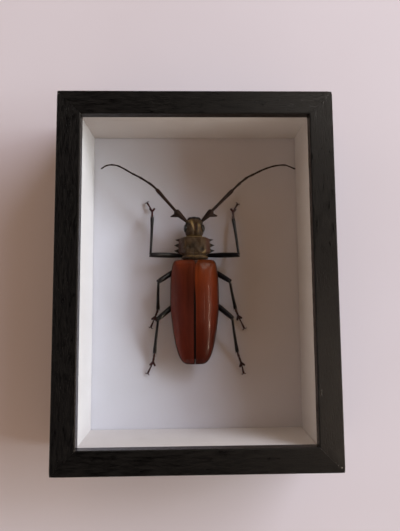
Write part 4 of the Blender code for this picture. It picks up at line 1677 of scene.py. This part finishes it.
@dataclass
class NeckShield(Shell):
    """The pronotum: broad and square-ended, with three flat spines a side and a sculpted disc."""

    reach: Pair = (12.3, 24.5)
    half_width: Rows = (
        (0.00, 6.9), (0.12, 7.2), (0.24, 9.0), (0.35, 9.5), (0.62, 9.4), (0.88, 9.0), (0.95, 8.3),
        (1.00, 6.6),
    )
    levels: Point = (1.6, 9.2, 16.4)  # its lowest line, its widest level and its disc
    keel: float = 2.2
    # A spine's share of the length, its tip's reach, and half of its root's length ahead and behind
    spines: tuple[tuple[float, float, float, float], ...] = (
        (0.33, 12.7, 2.3, 2.2), (0.60, 12.7, 2.3, 2.3), (0.88, 12.1, 1.1, 2.4),
    )
    spine_height: float = 1.0  # half of it, at the root
    spine_depth: float = 1.7  # of the root within the body
    spine_taper: float = 1.45
    spine_level: float = 9.4
    spine_bend: Pair = (0.25, -0.35)  # of the tip towards the head, and upwards
    # Relief of the disc: (x, y, radius, height), bosses above 0 and hollows below
    relief_rows: tuple[tuple[float, float, float, float], ...] = (
        (5.0, 15.4, 1.9, 0.75), (-5.0, 15.4, 1.9, 0.7), (4.6, 21.2, 2.4, 0.8), (-4.6, 21.2, 2.4, 0.8),
        (4.3, 16.9, 1.4, -0.9), (-3.2, 17.9, 1.1, -0.6), (0.2, 19.4, 1.7, 0.5), (0.0, 14.4, 2.2, -0.45),
        (6.7, 17.9, 1.0, 0.5), (-6.6, 18.2, 1.1, 0.4), (1.6, 22.3, 1.2, -0.3), (-2.0, 22.4, 1.1, -0.25),
        (2.2, 15.6, 0.9, 0.35), (-1.9, 16.4, 1.0, 0.25), (7.6, 20.9, 0.9, 0.35), (-7.5, 20.9, 0.9, 0.35),
    )
    # Raised rims with a groove behind them, by the share of the length
    front_rim: tuple[Band, Band] = (Band(0.28, 0.965, 0.022), Band(-0.22, 0.90, 0.03))
    rear_rim: tuple[Band, Band] = (Band(0.25, 0.035, 0.02), Band(-0.35, 0.10, 0.03))
    collar: tuple[Point, Point] = ((0.3, 12.2, 9.4), (8.0, 1.9, 6.2))  # centre and radii
    # Pale down on the rims and on the left line, and on a part of the ridge round the right pit
    pale_spots: tuple[Spot, ...] = (
        Spot(0.0, 24.15, inf, 0.4, 0.45), Spot(0.0, 12.7, inf, 0.5, 0.45),
        Spot(-5.35, 20.5, 0.4, 2.6, 0.4, slant=-0.1),
    )
    ridge: tuple[float, float, float, float] = (4.3, 16.9, 2.3, 0.5)  # x, y, radius, half width
    ridge_part: Spot = Spot(6.0, 15.2, 1.9, 1.9, 0.9)
    # The flanks' rust: how strong on the left and the right, and the distances where it sets in
    rust_strength: Pair = (0.64, 0.76)
    rust_from: Pair = (5.8, 7.8)
    # Bare chitin: in the pits, and from these distances outwards and heights downwards
    bare_spots: tuple[Spot, ...] = (
        Spot(4.3, 16.9, 1.5, 1.5, 0.6), Spot(-4.0, 18.2, 1.2, 1.2, 0.45), Spot(-0.4, 18.6, 2.6, 3.4, 0.5),
    )
    bare_from: Pair = (8.9, 9.9)
    bare_below: Pair = (8.0, 6.0)
    voxel: float = 0.17
    smoothing: int = 2

    def shape(self, share: float, angle: float) -> Vector:
        """A point of the body of the shield, without its spines.

        Args:
            share: 0 to 1 from pole to pole.
            angle: Around it, from +X upwards.

        Returns:
            The point.
        """
        along, fullness = ring_of_body(share, crowding=0.6, bluntness=0.08)
        start, end = self.reach
        lowest, level, disc = self.levels
        y = start + along * (end - start)
        front_rim = sum(band.at(along) for band in self.front_rim)
        rear_rim = sum(band.at(along) for band in self.rear_rim)
        x = curve_value(self.half_width, along) * fullness * signed_power(cos(angle), 0.8)
        up = sin(angle)
        if up < 0:
            return Vector((x, y, level - (level - lowest) * fullness * abs(up) ** self.keel))
        bumps = sum(h * bell(hypot(x - u, y - v), r) for u, v, r, h in self.relief_rows)
        rise = (disc - level) * up**0.85 + (bumps + front_rim + rear_rim) * up
        return Vector((x, y, level + rise * fullness))

    def spine_rings(
        self, side: Side, share: float, reach: float, ahead: float, behind: float
    ) -> list[Ring]:
        """Rings of one flat, three-cornered spine.

        Args:
            side: Its side of the body.
            share: Its place along the shield.
            reach: Its tip's distance from the middle line.
            ahead: Half of its root's length, on the side of the head.
            behind: The same towards the tail.

        Returns:
            The rings.
        """
        start, end = self.reach
        y = start + share * (end - start)
        inner = curve_value(self.half_width, share) - self.spine_depth
        rings = []
        forward, rise = self.spine_bend
        for t in shares(14, 0.3):
            x = side.value * (inner + (reach - inner) * t)
            fullness = (1 - t) ** self.spine_taper + 0.04
            middle = Vector((x, y + forward * t * t, self.spine_level + rise * t))
            ring = []
            for k in range(16):
                along, up = cos(pi * k / 8), sin(pi * k / 8)
                half_length = ahead if along > 0 else behind
                ring.append(middle + Vector((0, half_length * along, self.spine_height * up)) * fullness)
            rings.append(ring)
        return rings

    def pale(self, place: Vector) -> float:
        """Pale down: along the rims, on the ridge behind the right pit and on the left line.

        Args:
            place: A point of the skin.

        Returns:
            Its strength there.
        """
        x, y, radius, spread = self.ridge
        ridge = bell(hypot(place.x - x, place.y - y) - radius, spread)
        ridge *= self.ridge_part.at(place.x, place.y)
        return total(self.pale_spots, place) + ridge if place.z > self.levels[1] else 0.0

    def rust(self, place: Vector) -> float:
        """Rusty flanks."""
        return self.rust_strength[place.x > 0] * ramp(abs(place.x), *self.rust_from)

    def bare(self, place: Vector) -> float:
        """Bare black chitin: the spines, the deep pits and the flanks' underside."""
        spine = ramp(abs(place.x), *self.bare_from)
        return max(spine, total(self.bare_spots, place), 0.9 * ramp(place.z, *self.bare_below))

    def build(self, bench: Bench, brown: Material) -> Mesh:
        """Make the shield, fused with its spines, and roughen it.

        Args:
            bench: Where the pieces go.
            brown: Its finish.

        Returns:
            Its mesh, for the down to grow on.
        """
        skin = Skin()
        skin.loft(body_rings(self.shape, around=96, along=90))
        centre, radii = self.collar
        skin.loft(egg_rings(Vector(centre), radii, around=64, along=40))
        for spine in self.spines:
            for side in Side:
                skin.loft(self.spine_rings(side, *spine))
        return self.add(bench, skin, "neck_shield", "pronotum", brown)


HEAD_SOCKET: tuple[Point, Point] = ((3.7, 32.9, 12.0), (1.5, 1.7, 1.5))  # centre and radii, right side


@dataclass
class Head(Shell):
    """The head: capsule, raised antenna sockets, eyes, upper lip and jaws."""

    reach: Pair = (24.8, 36.0)
    half_width: Rows = ((0.00, 5.4), (0.30, 5.5), (0.55, 5.2), (0.70, 4.7), (0.88, 3.8), (1.00, 3.0))
    crest: Rows = ((0.00, 14.8), (0.35, 15.4), (0.70, 14.2), (1.00, 10.6))
    floor: Rows = ((0.00, 5.2), (0.50, 4.4), (1.00, 5.6))
    groove: Pair = (0.55, 0.8)  # depth and half width
    eye: tuple[Point, Point] = ((4.75, 29.6, 10.8), (1.6, 2.6, 3.2))
    jaw: tuple[Point, ...] = ((2.9, 33.6, 7.6), (2.9, 35.4, 7.2), (2.0, 36.5, 6.6), (0.35, 36.9, 6.0))
    jaw_widths: Rows = ((0.0, 1.5), (0.4, 1.35), (0.75, 0.85), (1.0, 0.35))
    lip: tuple[Point, Point] = ((0.0, 35.7, 9.0), (2.7, 1.45, 1.1))
    # Swellings on both sides: the brow and the cheek
    swellings: tuple[Spot, Spot] = (Spot(2.0, 32.2, 0.9, 2.2, 0.45), Spot(3.2, 28.2, 1.2, 1.6, 0.3))
    # Pale down: a slanting middle line, the left brow, two spots on the right and the neck's rim
    pale_spots: tuple[Spot, ...] = (
        Spot(-0.979, 31.3, 0.6, 3.2, 0.9, slant=-0.33), Spot(-2.2, 33.2, 1.4, 1.82, 0.4),
        Spot(2.9, 31.2, 1.2, 1.2, 0.55), Spot(2.3, 27.8, 0.4, 1.6, 0.55),
        Spot(0.0, 25.1, inf, 0.4, 0.6),
    )
    rust_spot: Spot = Spot(0.9, 29.8, 0.9, 1.98, 0.75)
    bare_spots: tuple[Spot, ...] = (Spot(-3.1, 31.6, 0.9, 0.9, 0.75), Spot(3.6, 26.4, 0.8, 0.8, 0.6))
    bare_socket: tuple[Point, float] = ((3.9, 32.4, 12.4), 1.35)  # centre and radius
    bare_groove: Spot = Spot(1.5, 29.0, 0.35, 2.2, 0.9)
    groove_bend: float = 0.12  # of the bare groove towards +X, by the square of the way along it
    bare_below: Pair = (8.4, 6.4)
    marked_above: float = 9.0
    voxel: float = 0.15
    smoothing: int = 3

    def shape(self, share: float, angle: float) -> Vector:
        """A point of the head capsule.

        Args:
            share: 0 to 1 from pole to pole.
            angle: Around it, from +X upwards.

        Returns:
            The point.
        """
        along, fullness = ring_of_body(share, crowding=0.7, bluntness=0.2)
        start, end = self.reach
        y = start + along * (end - start)
        crest, floor = curve_value(self.crest, along), curve_value(self.floor, along)
        up = signed_power(sin(angle), 0.9)
        x = curve_value(self.half_width, along) * fullness * signed_power(cos(angle), 0.85)
        depth, spread = self.groove
        relief = sum(spot.at(abs(x), y) for spot in self.swellings) - depth * bell(x, spread)
        z = (crest + floor) / 2 + (crest - floor) / 2 * fullness * up + relief * max(up, 0)
        return Vector((x, y, z))

    def pale(self, place: Vector) -> float:
        """Pale down: a slanting line down the middle, the left brow and the rim at the neck."""
        return total(self.pale_spots, place) if place.z > self.marked_above else 0.0

    def rust(self, place: Vector) -> float:
        """Rust: right of the middle line."""
        return self.rust_spot.at(place.x, place.y) if place.z > self.marked_above else 0.1

    def bare(self, place: Vector) -> float:
        """Bare black chitin: the sockets, the groove right of the line and the underside.

        Args:
            place: A point of the skin.

        Returns:
            Its strength there.
        """
        centre, radius = self.bare_socket
        socket = max(bell((place - on_side(side, centre)).length, radius) for side in Side)
        bend = self.groove_bend * (place.y - self.bare_groove.y) ** 2
        groove = self.bare_groove.at(place.x - bend, place.y)
        below = 0.8 * ramp(place.z, *self.bare_below)
        return max(socket, groove, total(self.bare_spots, place), below)

    def build(self, bench: Bench, brown: Material, black: Material) -> Mesh:
        """Make and dress the head's pieces.

        Args:
            bench: Where the pieces go.
            brown: Finish of the capsule.
            black: Finish of the jaws and the upper lip.

        Returns:
            The capsule's mesh, for the down to grow on.
        """
        capsule = Skin()
        capsule.loft(body_rings(self.shape, around=72, along=70))
        centre, radii = HEAD_SOCKET
        for side in Side:
            capsule.loft(egg_rings(on_side(side, centre), radii))
        mesh = self.add(bench, capsule, "head_capsule", "head", brown)
        lens = EyeFacets().make()
        pieces = []
        for side in Side:
            centre, radii = self.eye
            eye = egg_rings(on_side(side, centre), radii, around=40, along=28)
            line = [on_side(side, point) for point in self.jaw]
            jaw = limb_rings(line, self.jaw_widths, flatness=0.8, sides=18, steps=26)
            pieces += ((f"{side.word}_eye", eye, lens), (f"{side.word}_jaw", jaw, black))
        centre, radii = self.lip
        pieces.append(("upper_lip", egg_rings(Vector(centre), radii), black))
        for name, rings, finish in pieces:
            skin = Skin()
            skin.loft(rings)
            bench.add(name, skin.mesh(name), finish, "brown_cuticle", "head", bench.beetle)
        return mesh


@dataclass
class Down:
    """Short hairs that grow on a skin, lying towards the tail."""

    count: int
    seed: int
    length: Pair = (0.45, 0.85)  # least and greatest
    radius: float = 0.028
    lean: float = 1.1
    scatter: Point = (0.5, 0.4, 0.2)  # of the way they point, either way along X, Y and Z

    def mesh(self, skin: Mesh, grows: Callable[[Vector], float]) -> Mesh:
        """Joined hairs, each a three-sided spike.

        Args:
            skin: What they grow on, in metres.
            grows: Chance of a hair, from the skin's normal.

        Returns:
            The mesh, in metres.
        """
        chance = random.Random(self.seed)
        polygons = list(skin.polygons)
        areas = [polygon.area for polygon in polygons]
        bm = bmesh.new()
        for polygon in chance.choices(polygons, areas, k=self.count):
            root = polygon.center
            normal = polygon.normal
            if chance.random() > grows(normal):
                continue
            scatter = Vector([chance.uniform(-most, most) for most in self.scatter])
            way = (normal + Vector((0, -self.lean, 0)) + scatter).normalized()
            tip = root + way * chance.uniform(*self.length) * MM
            across = way.cross(normal).normalized() * self.radius * MM
            deep = normal * self.radius * MM
            corners = (root + across - deep, root - across - deep, root + deep * 0.7)
            base = [bm.verts.new(corner) for corner in corners]
            point = bm.verts.new(tip)
            bm.faces.new(base)
            for i in range(3):
                bm.faces.new((base[i], base[(i + 1) % 3], point))
        return finished(bm, "down")


@dataclass
class Antenna:
    """An antenna: a clubbed scape with a spine on its end, a small pedicel, and the jointed whip."""

    side: Side
    scape_tip: Point
    spine_tip: Point
    joints: tuple[Point, ...]
    clear_of_socket: float = 0.5  # from the socket's centre
    scape_widths: Rows = ((0.0, 0.7), (0.12, 0.85), (0.35, 1.25), (0.65, 1.75), (0.85, 1.95), (1.0, 1.3))
    spine_starts: float = 0.68  # share of the scape's length
    spine_radius: float = 2.5
    voxel: float = 0.12
    whip_starts: float = 0.88  # share of the scape's length
    whip_radius: Pair = (1.2, 0.37)
    taper: float = 0.45
    pedicel: Point = (0.95, 0.95, 0.9)  # its radii
    # A joint's half width over the whip's radius there, its overlap over the same, and its bow
    joint_widths: Rows = ((0.0, 0.62), (0.08, 0.9), (0.5, 1.0), (0.9, 1.25), (1.0, 1.05))
    overlap: float = 0.35
    bow: float = 0.05

    def scape(self, root: Vector, tip: Vector) -> Skin:
        """The scape and its spine.

        Args:
            root: Where the scape starts.
            tip: Where it ends.

        Returns:
            The skins.
        """
        skin = Skin()
        line = (root, root.lerp(tip, 0.5), tip)
        skin.loft(limb_rings(line, self.scape_widths, flatness=0.85, sides=24, steps=34))
        thorn = root.lerp(tip, self.spine_starts)
        skin.loft(spike_rings(thorn, Vector(self.spine_tip), self.spine_radius, bend=0.1, sides=14))
        return skin

    def whip(self, root: Vector) -> Skin:
        """The pedicel and the joints of the whip.

        Args:
            root: Where they start.

        Returns:
            The skins.
        """
        skin = Skin()
        points = [root, *(Vector(joint) for joint in self.joints)]
        skin.loft(egg_rings(root.lerp(points[1], 0.05), self.pedicel, around=16, along=10))
        lengths = [(b - a).length for a, b in zip(points, points[1:])]
        thick, thin = self.whip_radius
        run = 0.0
        for k, (start, end, length) in enumerate(zip(points, points[1:], lengths)):
            radius = thick + (thin - thick) * ((run + 0.3 * length) / sum(lengths)) ** self.taper
            rows = tuple((share, radius * width) for share, width in self.joint_widths)
            overlap = (end - start).normalized() * radius * self.overlap
            bow = Vector()
            if 0 < k < len(points) - 2:
                bow = (start + end - points[k - 1] - points[k + 2]) * self.bow
            skin.loft(limb_rings((start - overlap, (start + end) / 2 + bow, end), rows, flatness=0.95))
            run += length
        return skin

    def build(self, bench: Bench, brown: Material) -> None:
        """Make and dress the antenna.

        Args:
            bench: Where the pieces go.
            brown: Its finish.
        """
        socket = on_side(self.side, HEAD_SOCKET[0])
        tip = Vector(self.scape_tip)
        root = socket + (tip - socket).normalized() * self.clear_of_socket
        node = f"antenna_{self.side.word}"
        name = f"{self.side.word}_scape"
        mesh = fused(self.scape(root, tip).mesh(name), self.voxel)
        bench.add(name, mesh, brown, "antenna_cuticle", node, bench.beetle, smooth_angle=180)
        name = f"{self.side.word}_whip"
        mesh = self.whip(root.lerp(tip, self.whip_starts)).mesh(name)
        bench.add(name, mesh, brown, "antenna_cuticle", node, bench.beetle)


@dataclass
class Leg:
    """A leg: thigh with its hip joint, shin with spurs and bristles, and the foot with its claws."""

    name: str
    root: Point
    knee: Point
    ankle: Point
    fork: Point
    tip: Point
    thigh_widths: Rows = ((0.0, 0.95), (0.2, 1.3), (0.5, 1.6), (0.78, 1.5), (0.94, 1.3), (1.0, 1.15))
    shin_widths: Rows = ((0.0, 0.6), (0.05, 0.72), (0.3, 0.76), (0.7, 0.88), (0.94, 1.12), (1.0, 1.0))
    hip: Point = (1.35, 1.35, 1.3)  # its radii
    # Lines of what stands on both sides, as (ahead, aside, up), and their half widths
    knee_lobe: tuple[Point, ...] = ((-1.4, 0.72, 0.0), (0.85, 0.72, 0.0))
    knee_lobe_widths: Rows = ((0.0, 0.5), (0.6, 0.6), (1.0, 0.4))
    spur: tuple[Point, Point] = ((-0.5, 0.7, -0.2), (0.85, 1.33, -0.38))
    spur_radius: float = 0.3
    fork_lobe: tuple[Point, ...] = ((-0.6, 0.2, 0.0), (0.85, 0.95, 0.0), (1.9, 1.7, 0.0))
    fork_lobe_widths: Rows = ((0.0, 0.5), (0.6, 0.66), (1.0, 0.45))
    claw: tuple[Point, ...] = ((-0.35, 0.2, 0.0), (0.3, 0.95, 0.05), (-0.15, 1.6, 0.0))
    claw_widths: Rows = ((0.0, 0.34), (0.4, 0.24), (0.8, 0.12), (1.0, 0.05))
    claw_level: float = 0.55  # of its point over the card
    bristles: int = 9
    shin_bow: float = 0.12
    # The foot's padded joints, by their share of the way to the fork, and its thin last joint
    pads: Rows = ((-0.08, 0.42), (0.36, 0.74), (0.68, 1.0))
    pad_widths: Rows = ((0.0, 0.38), (0.35, 0.55), (0.8, 0.82), (1.0, 0.7))
    last_widths: Rows = ((0.0, 0.36), (0.4, 0.4), (0.8, 0.58), (1.0, 0.55))

    def ways(self, start: Vector, end: Vector) -> Matrix:
        """Directions at a stretch of the leg.

        Args:
            start: Where the stretch starts.
            end: Where it ends.

        Returns:
            The turn from (ahead, aside, up), aside being level with the card.
        """
        ahead = (end - start).normalized()
        upwards = Vector((0, 0, 1))
        return Matrix((ahead, ahead.cross(upwards).normalized(), upwards)).transposed()

    def beside(self, spot: Vector, ways: Matrix, line: Sequence[Point], sign: int) -> Ring:
        """Points of a line beside a spot of the leg, given as (ahead, aside, up)."""
        return [spot + ways @ Vector((ahead, sign * aside, up)) for ahead, aside, up in line]

    def thigh(self, skin: Skin) -> None:
        """Hip joint, thigh, and the two lobes that hold the knee.

        Args:
            skin: The mesh that they go in.
        """
        root, knee = Vector(self.root), Vector(self.knee)
        ways = self.ways(root, knee)
        skin.loft(egg_rings(root, self.hip))
        bowed = root.lerp(knee, 0.5) + Vector((0, 0, 0.35))
        line = (root, bowed, knee + ways.col[0] * 0.2)
        skin.loft(limb_rings(line, self.thigh_widths, flatness=0.85, sides=22, steps=38))
        for sign in (-1, 1):
            lobe = self.beside(knee, ways, self.knee_lobe, sign)
            skin.loft(limb_rings(lobe, self.knee_lobe_widths, flatness=1.5, steps=14))

    def shin(self, skin: Skin) -> None:
        """Shin, its two spurs and its rows of bristles.

        Args:
            skin: The mesh that they go in.
        """
        knee, ankle = Vector(self.knee), Vector(self.ankle)
        ways = self.ways(knee, ankle)
        forward, sideways, _ = ways.col
        middle = knee.lerp(ankle, 0.5) + sideways * self.shin_bow
        line = (knee, middle, ankle)
        skin.loft(limb_rings(line, self.shin_widths, flatness=0.85, sides=18, steps=40))
        for sign in (-1, 1):
            root, tip = self.beside(ankle, ways, self.spur, sign)
            skin.loft(spike_rings(root, tip, self.spur_radius))
            way = forward * 0.8 + sideways * sign * 0.6
            for k in range(self.bristles):
                share = 0.25 + 0.62 * k / (self.bristles - 1)
                width = curve_value(self.shin_widths, share)
                start = knee.lerp(ankle, share) + sideways * (self.shin_bow + sign * width * 0.85)
                skin.loft(spike_rings(start - way * 0.1, start + way * 0.5, radius=0.1, sides=5))

    def foot(self, skin: Skin) -> None:
        """Three padded joints, the third with two lobes, the thin last joint and two claws.

        Args:
            skin: The mesh that they go in.
        """
        ankle, fork, tip = Vector(self.ankle), Vector(self.fork), Vector(self.tip)
        for start, end in self.pads:
            line = (ankle.lerp(fork, start), ankle.lerp(fork, end))
            skin.loft(limb_rings(line, self.pad_widths, flatness=0.6, sides=16, steps=16))
        ways = self.ways(ankle, fork)
        for sign in (-1, 1):
            lobe = self.beside(fork, ways, self.fork_lobe, sign)
            skin.loft(limb_rings(lobe, self.fork_lobe_widths, flatness=0.6, sides=16, steps=18))
        ways = self.ways(fork, tip)
        line = (fork - ways.col[0] * 0.3, fork.lerp(tip, 0.5) + Vector((0, 0, 0.3)), tip)
        skin.loft(limb_rings(line, self.last_widths, flatness=0.9, steps=24))
        for sign in (-1, 1):
            claw = self.beside(tip, ways, self.claw, sign)
            claw[-1].z = self.claw_level
            skin.loft(limb_rings(claw, self.claw_widths, flatness=0.9, sides=10, steps=18))

    def build(self, bench: Bench, black: Material, brown: Material) -> None:
        """Make and dress the leg's three pieces.

        Args:
            bench: Where the pieces go.
            black: Finish of the thigh and the shin.
            brown: Finish of the foot.
        """
        for part, shape, finish in (
            ("thigh", self.thigh, black), ("shin", self.shin, black), ("foot", self.foot, brown)
        ):
            skin = Skin()
            shape(skin)
            name = f"{self.name}_{part}"
            bench.add(name, skin.mesh(name), finish, "black_cuticle", f"leg_{self.name}", bench.beetle)


# Where the legs stand: hip, knee, end of the shin, fork of the foot, and the foot's tip
LEG_POINTS: dict[str, tuple[Point, Point, Point, Point, Point]] = {
    "front_left": (
        (-7.2, 14.3, 3.0), (-26.1, 14.3, 8.4), (-25.6, 38.0, 3.9), (-25.8, 42.3, 2.0), (-29.1, 47.7, 1.1),
    ),
    "front_right": (
        (7.2, 14.3, 3.0), (26.5, 14.0, 8.4), (24.0, 37.0, 3.9), (24.3, 41.9, 2.0), (27.3, 46.8, 1.1),
    ),
    "middle_left": (
        (-8.0, 7.3, 2.6), (-21.3, -1.7, 9.3), (-22.1, -18.3, 3.4), (-24.0, -23.2, 1.9), (-26.6, -29.2, 1.1),
    ),
    "middle_right": (
        (8.0, 6.8, 2.6), (20.9, -1.6, 9.3), (24.7, -18.4, 3.4), (26.6, -23.0, 1.9), (30.2, -30.3, 1.1),
    ),
    "hind_left": (
        (-8.2, -12.5, 2.6), (-21.4, -23.4, 9.3), (-24.1, -44.2, 3.4), (-25.2, -50.0, 1.9),
        (-28.5, -56.6, 1.1),
    ),
    "hind_right": (
        (8.2, -11.5, 2.6), (22.0, -23.3, 9.3), (25.4, -44.1, 3.4), (27.9, -51.0, 1.9), (29.3, -57.1, 1.1),
    ),
}


@dataclass
class Beetle:
    """The mounted beetle, from its parts."""

    shield_hairs: int = 5200
    head_hairs: int = 2600

    def antennae(self) -> tuple[Antenna, Antenna]:
        """The antennae, as they were spread when the beetle was set.

        Returns:
            The left one and the right one.
        """
        left = Antenna(
            Side.LEFT, (-11.3, 39.9, 13.4), (-14.0, 36.3, 12.9),
            (
                (-22.3, 52.8, 13.9), (-27.1, 56.8, 13.4), (-32.4, 60.3, 12.9), (-36.9, 62.8, 12.1),
                (-41.3, 65.6, 11.3), (-45.8, 68.1, 10.4), (-50.2, 68.9, 9.5), (-53.6, 68.4, 8.6),
                (-56.2, 66.9, 7.9),
            ),
        )
        right = Antenna(
            Side.RIGHT, (10.9, 40.0, 13.4), (13.8, 36.6, 12.9),
            (
                (23.0, 52.1, 13.9), (27.7, 56.6, 13.4), (31.9, 60.0, 12.9), (36.0, 62.2, 12.1),
                (40.4, 64.6, 11.3), (45.0, 66.7, 10.4), (50.0, 68.3, 9.5), (56.2, 68.9, 8.6),
                (62.2, 66.7, 7.9),
            ),
        )
        return left, right

    def grow_down(self, bench: Bench, shield: Mesh, head: Mesh) -> None:
        """Grow the hairs of the neck shield and the head.

        Args:
            bench: Where the pieces go.
            shield: The neck shield's mesh, in its place.
            head: The head capsule's mesh, in its place.
        """
        golden = GoldenDown().make()

        def upper(normal: Vector) -> float:
            """Hairs grow on what faces up, and thinly on the flanks."""
            return min(1.0, max(0.0, normal.z * 1.3 + 0.15))

        for name, count, skin, node in (
            ("neck_shield_down", self.shield_hairs, shield, "pronotum"),
            ("head_down", self.head_hairs, head, "head"),
        ):
            mesh = Down(count, seed=count).mesh(skin, upper)
            bench.add(name, mesh, golden, "brown_cuticle", node)

    def build(self, bench: Bench) -> None:
        """Make and dress the whole beetle.

        Args:
            bench: Where the pieces go.
        """
        black = PolishedChitin("black_limb_chitin", "0B090B", "17121A", 0.3).make()
        foot = PolishedChitin("red_brown_foot_chitin", "2A1012", "4E1C1A", 0.42, 0.1).make()
        whip = PolishedChitin("dark_antenna_chitin", "1A0904", "2C1109", 0.56, 0.0, 0.35, 0.07).make()
        brown = DownyChitin().make()
        wing = WingCaseChitin().make()
        Trunk().build(bench, black, brown)
        for side in Side:
            WingCase(side).build(bench, wing)
        shield = NeckShield().build(bench, brown)
        head = Head().build(bench, brown, black)
        for antenna in self.antennae():
            antenna.build(bench, whip)
        for name, points in LEG_POINTS.items():
            Leg(name, *points).build(bench, black, foot)
        self.grow_down(bench, shield, head)


# Floor, light and camera


@dataclass(frozen=True)
class Lamp:
    """A soft lamp that points at the box: a window, a wall, a ceiling or the gap of a door."""

    name: str
    colour: str
    power: float  # watts
    elevation: float  # degrees above the floor
    azimuth: float  # degrees from +X towards +Y
    distance: float  # metres
    size: Pair  # metres, level and upright
    roll: float = 0.0  # degrees, of the lamp about its own beam
    shape: LampShape = LampShape.OBLONG
    matt: bool = True  # lights matt surfaces
    gloss: bool = True  # shows in glossy ones

    def build(self) -> None:
        """Hang the lamp."""
        lamp = bpy.data.lights.new(self.name, "AREA")
        lamp.shape = self.shape.value
        lamp.size, lamp.size_y = self.size
        lamp.energy = self.power
        lamp.color = linear(self.colour)[:3]
        elevation, azimuth = radians(self.elevation), radians(self.azimuth)
        level = Vector((cos(azimuth), sin(azimuth), 0))
        back = level * cos(elevation) + Vector((0, 0, sin(elevation)))
        across = Vector((-sin(azimuth), cos(azimuth), 0))
        turn = Matrix((across, back.cross(across), back)).transposed().to_4x4()
        turn = turn @ Matrix.Rotation(radians(self.roll), 4, "Z")
        holder = placed(self.name, lamp)
        holder.matrix_world = Matrix.Translation(back * self.distance) @ turn
        holder.visible_diffuse = self.matt
        holder.visible_glossy = self.gloss


@dataclass
class Studio:
    """A plain pale floor, a window-like key from the right, warm fill, and the photo's camera."""

    floor_half: float = 3.4
    floor_colours: tuple[str, str] = ("D9D0D2", "DDD5D8")
    # The room's colour by the sine of the height above the floor
    room_colours: tuple[tuple[float, str], ...] = (
        (0.0, "CAC5C0"), (0.12, "E8DED4"), (0.20, "FFECDB"), (0.27, "FFECDB"), (0.49, "14110F"),
        (1.0, "0A0908"),
    )
    room_strength: float = 1.65
    lamps: tuple[Lamp, ...] = (
        Lamp("window", "EAF6FF", 84.5, 22.0, 4.0, 3.0, (1.7, 0.8), gloss=False),
        Lamp("far_window", "E6ECFF", 67.5, 28.0, 40.0, 3.0, (2.0, 0.8), gloss=False),
        Lamp("ceiling", "FFC698", 19.2, 89.0, 0.0, 1.7, (5.0, 5.0), gloss=False),
        Lamp("window_gleam", "FFF4EA", 6.0, 45.5, 54.0, 1.5, (0.56, 0.56), matt=False, shape=LampShape.OVAL),
        Lamp("curtain_gleam", "FFEEDC", 2.1, 31.0, 20.0, 1.5, (0.4, 0.5), matt=False, shape=LampShape.OVAL),
        Lamp("door_gap", "FFE6CE", 9.5, 38.7, -16.0, 1.5, (0.85, 0.05), roll=28.0, matt=False),
        Lamp("door_gap_foot", "FFE6CE", 4.2, 26.5, -32.0, 1.5, (0.34, 0.05), roll=60.0, matt=False),
        Lamp("left_wall", "E4E0F2", 1.5, 37.0, 178.0, 1.5, (1.6, 0.69), matt=False),
        Lamp("hall_light", "FFEAD8", 1.7, 66.5, -28.0, 1.5, (0.52, 0.06), roll=21.0, matt=False),
    )
    camera_place: Point = (-0.002703, -0.012325, 0.258707)
    camera_forward: Point = (0.02067, 0.08249, -0.99638)
    camera_up: Point = (0.00601, 0.99656, 0.08263)
    lens: float = 27.678
    sensor: float = 36.0

    def floor(self) -> None:
        """The pale surface under the box, matt and faintly mottled."""
        mat = Recipe("pale_floor", 0.85, Specular_IOR_Level=0.2)
        mottle = mat.add("TexNoise", {"Scale": 6.0, "Detail": 3.0})
        shade = mat.add("ValToRGB", {"Fac": mottle}, stops=tuple(zip((0.3, 0.7), self.floor_colours)))
        mat.finish(Base_Color=shade)
        bm = bmesh.new()
        bmesh.ops.create_grid(bm, x_segments=4, y_segments=4, size=self.floor_half)
        mesh = finished(bm, "floor", outward=False)
        mesh.materials.append(mat.material)
        placed("floor", mesh)

    def room(self) -> None:
        """The dim warm room around: pale walls and a darker ceiling."""
        world = bpy.data.worlds.new("warm_room")
        world.use_nodes = True
        tree = world.node_tree
        way = add_node(tree, "TexCoord").outputs["Generated"]
        height = add_node(tree, "SeparateXYZ", {"Vector": way}).outputs["Z"]
        shade = add_node(tree, "ValToRGB", {"Fac": height}, stops=self.room_colours)
        tree.links.new(shade.outputs["Color"], tree.nodes["Background"].inputs["Color"])
        tree.nodes["Background"].inputs["Strength"].default_value = self.room_strength
        bpy.context.scene.world = world

    def camera(self) -> None:
        """The camera, where the photograph's corners put it."""
        forward = Vector(self.camera_forward).normalized()
        across = forward.cross(Vector(self.camera_up)).normalized()
        turn = Matrix((across, across.cross(forward), -forward)).transposed().to_4x4()
        lens = bpy.data.cameras.new("camera")
        lens.lens = self.lens
        lens.sensor_width = self.sensor
        lens.clip_start = 0.01
        camera = placed("camera", lens)
        camera.matrix_world = Matrix.Translation(self.camera_place) @ turn
        bpy.context.scene.camera = camera

    def build(self) -> None:
        """Set out the floor, the room, the lamps and the camera."""
        self.floor()
        self.room()
        for lamp in self.lamps:
            lamp.build()
        self.camera()
        bpy.context.scene.view_settings.view_transform = "Standard"


def main() -> None:
    """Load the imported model, make the looks around it and report each piece."""
    logging.basicConfig(level=logging.INFO, format="%(message)s")
    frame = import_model()
    bench = Bench()
    BoxFrame().build(bench)
    Filling().build(bench)
    Fittings().build(frame)
    Beetle().build(bench)
    Studio().build()
    log.info("%d pieces made", bench.made)


if __name__ == "__main__":
    main()
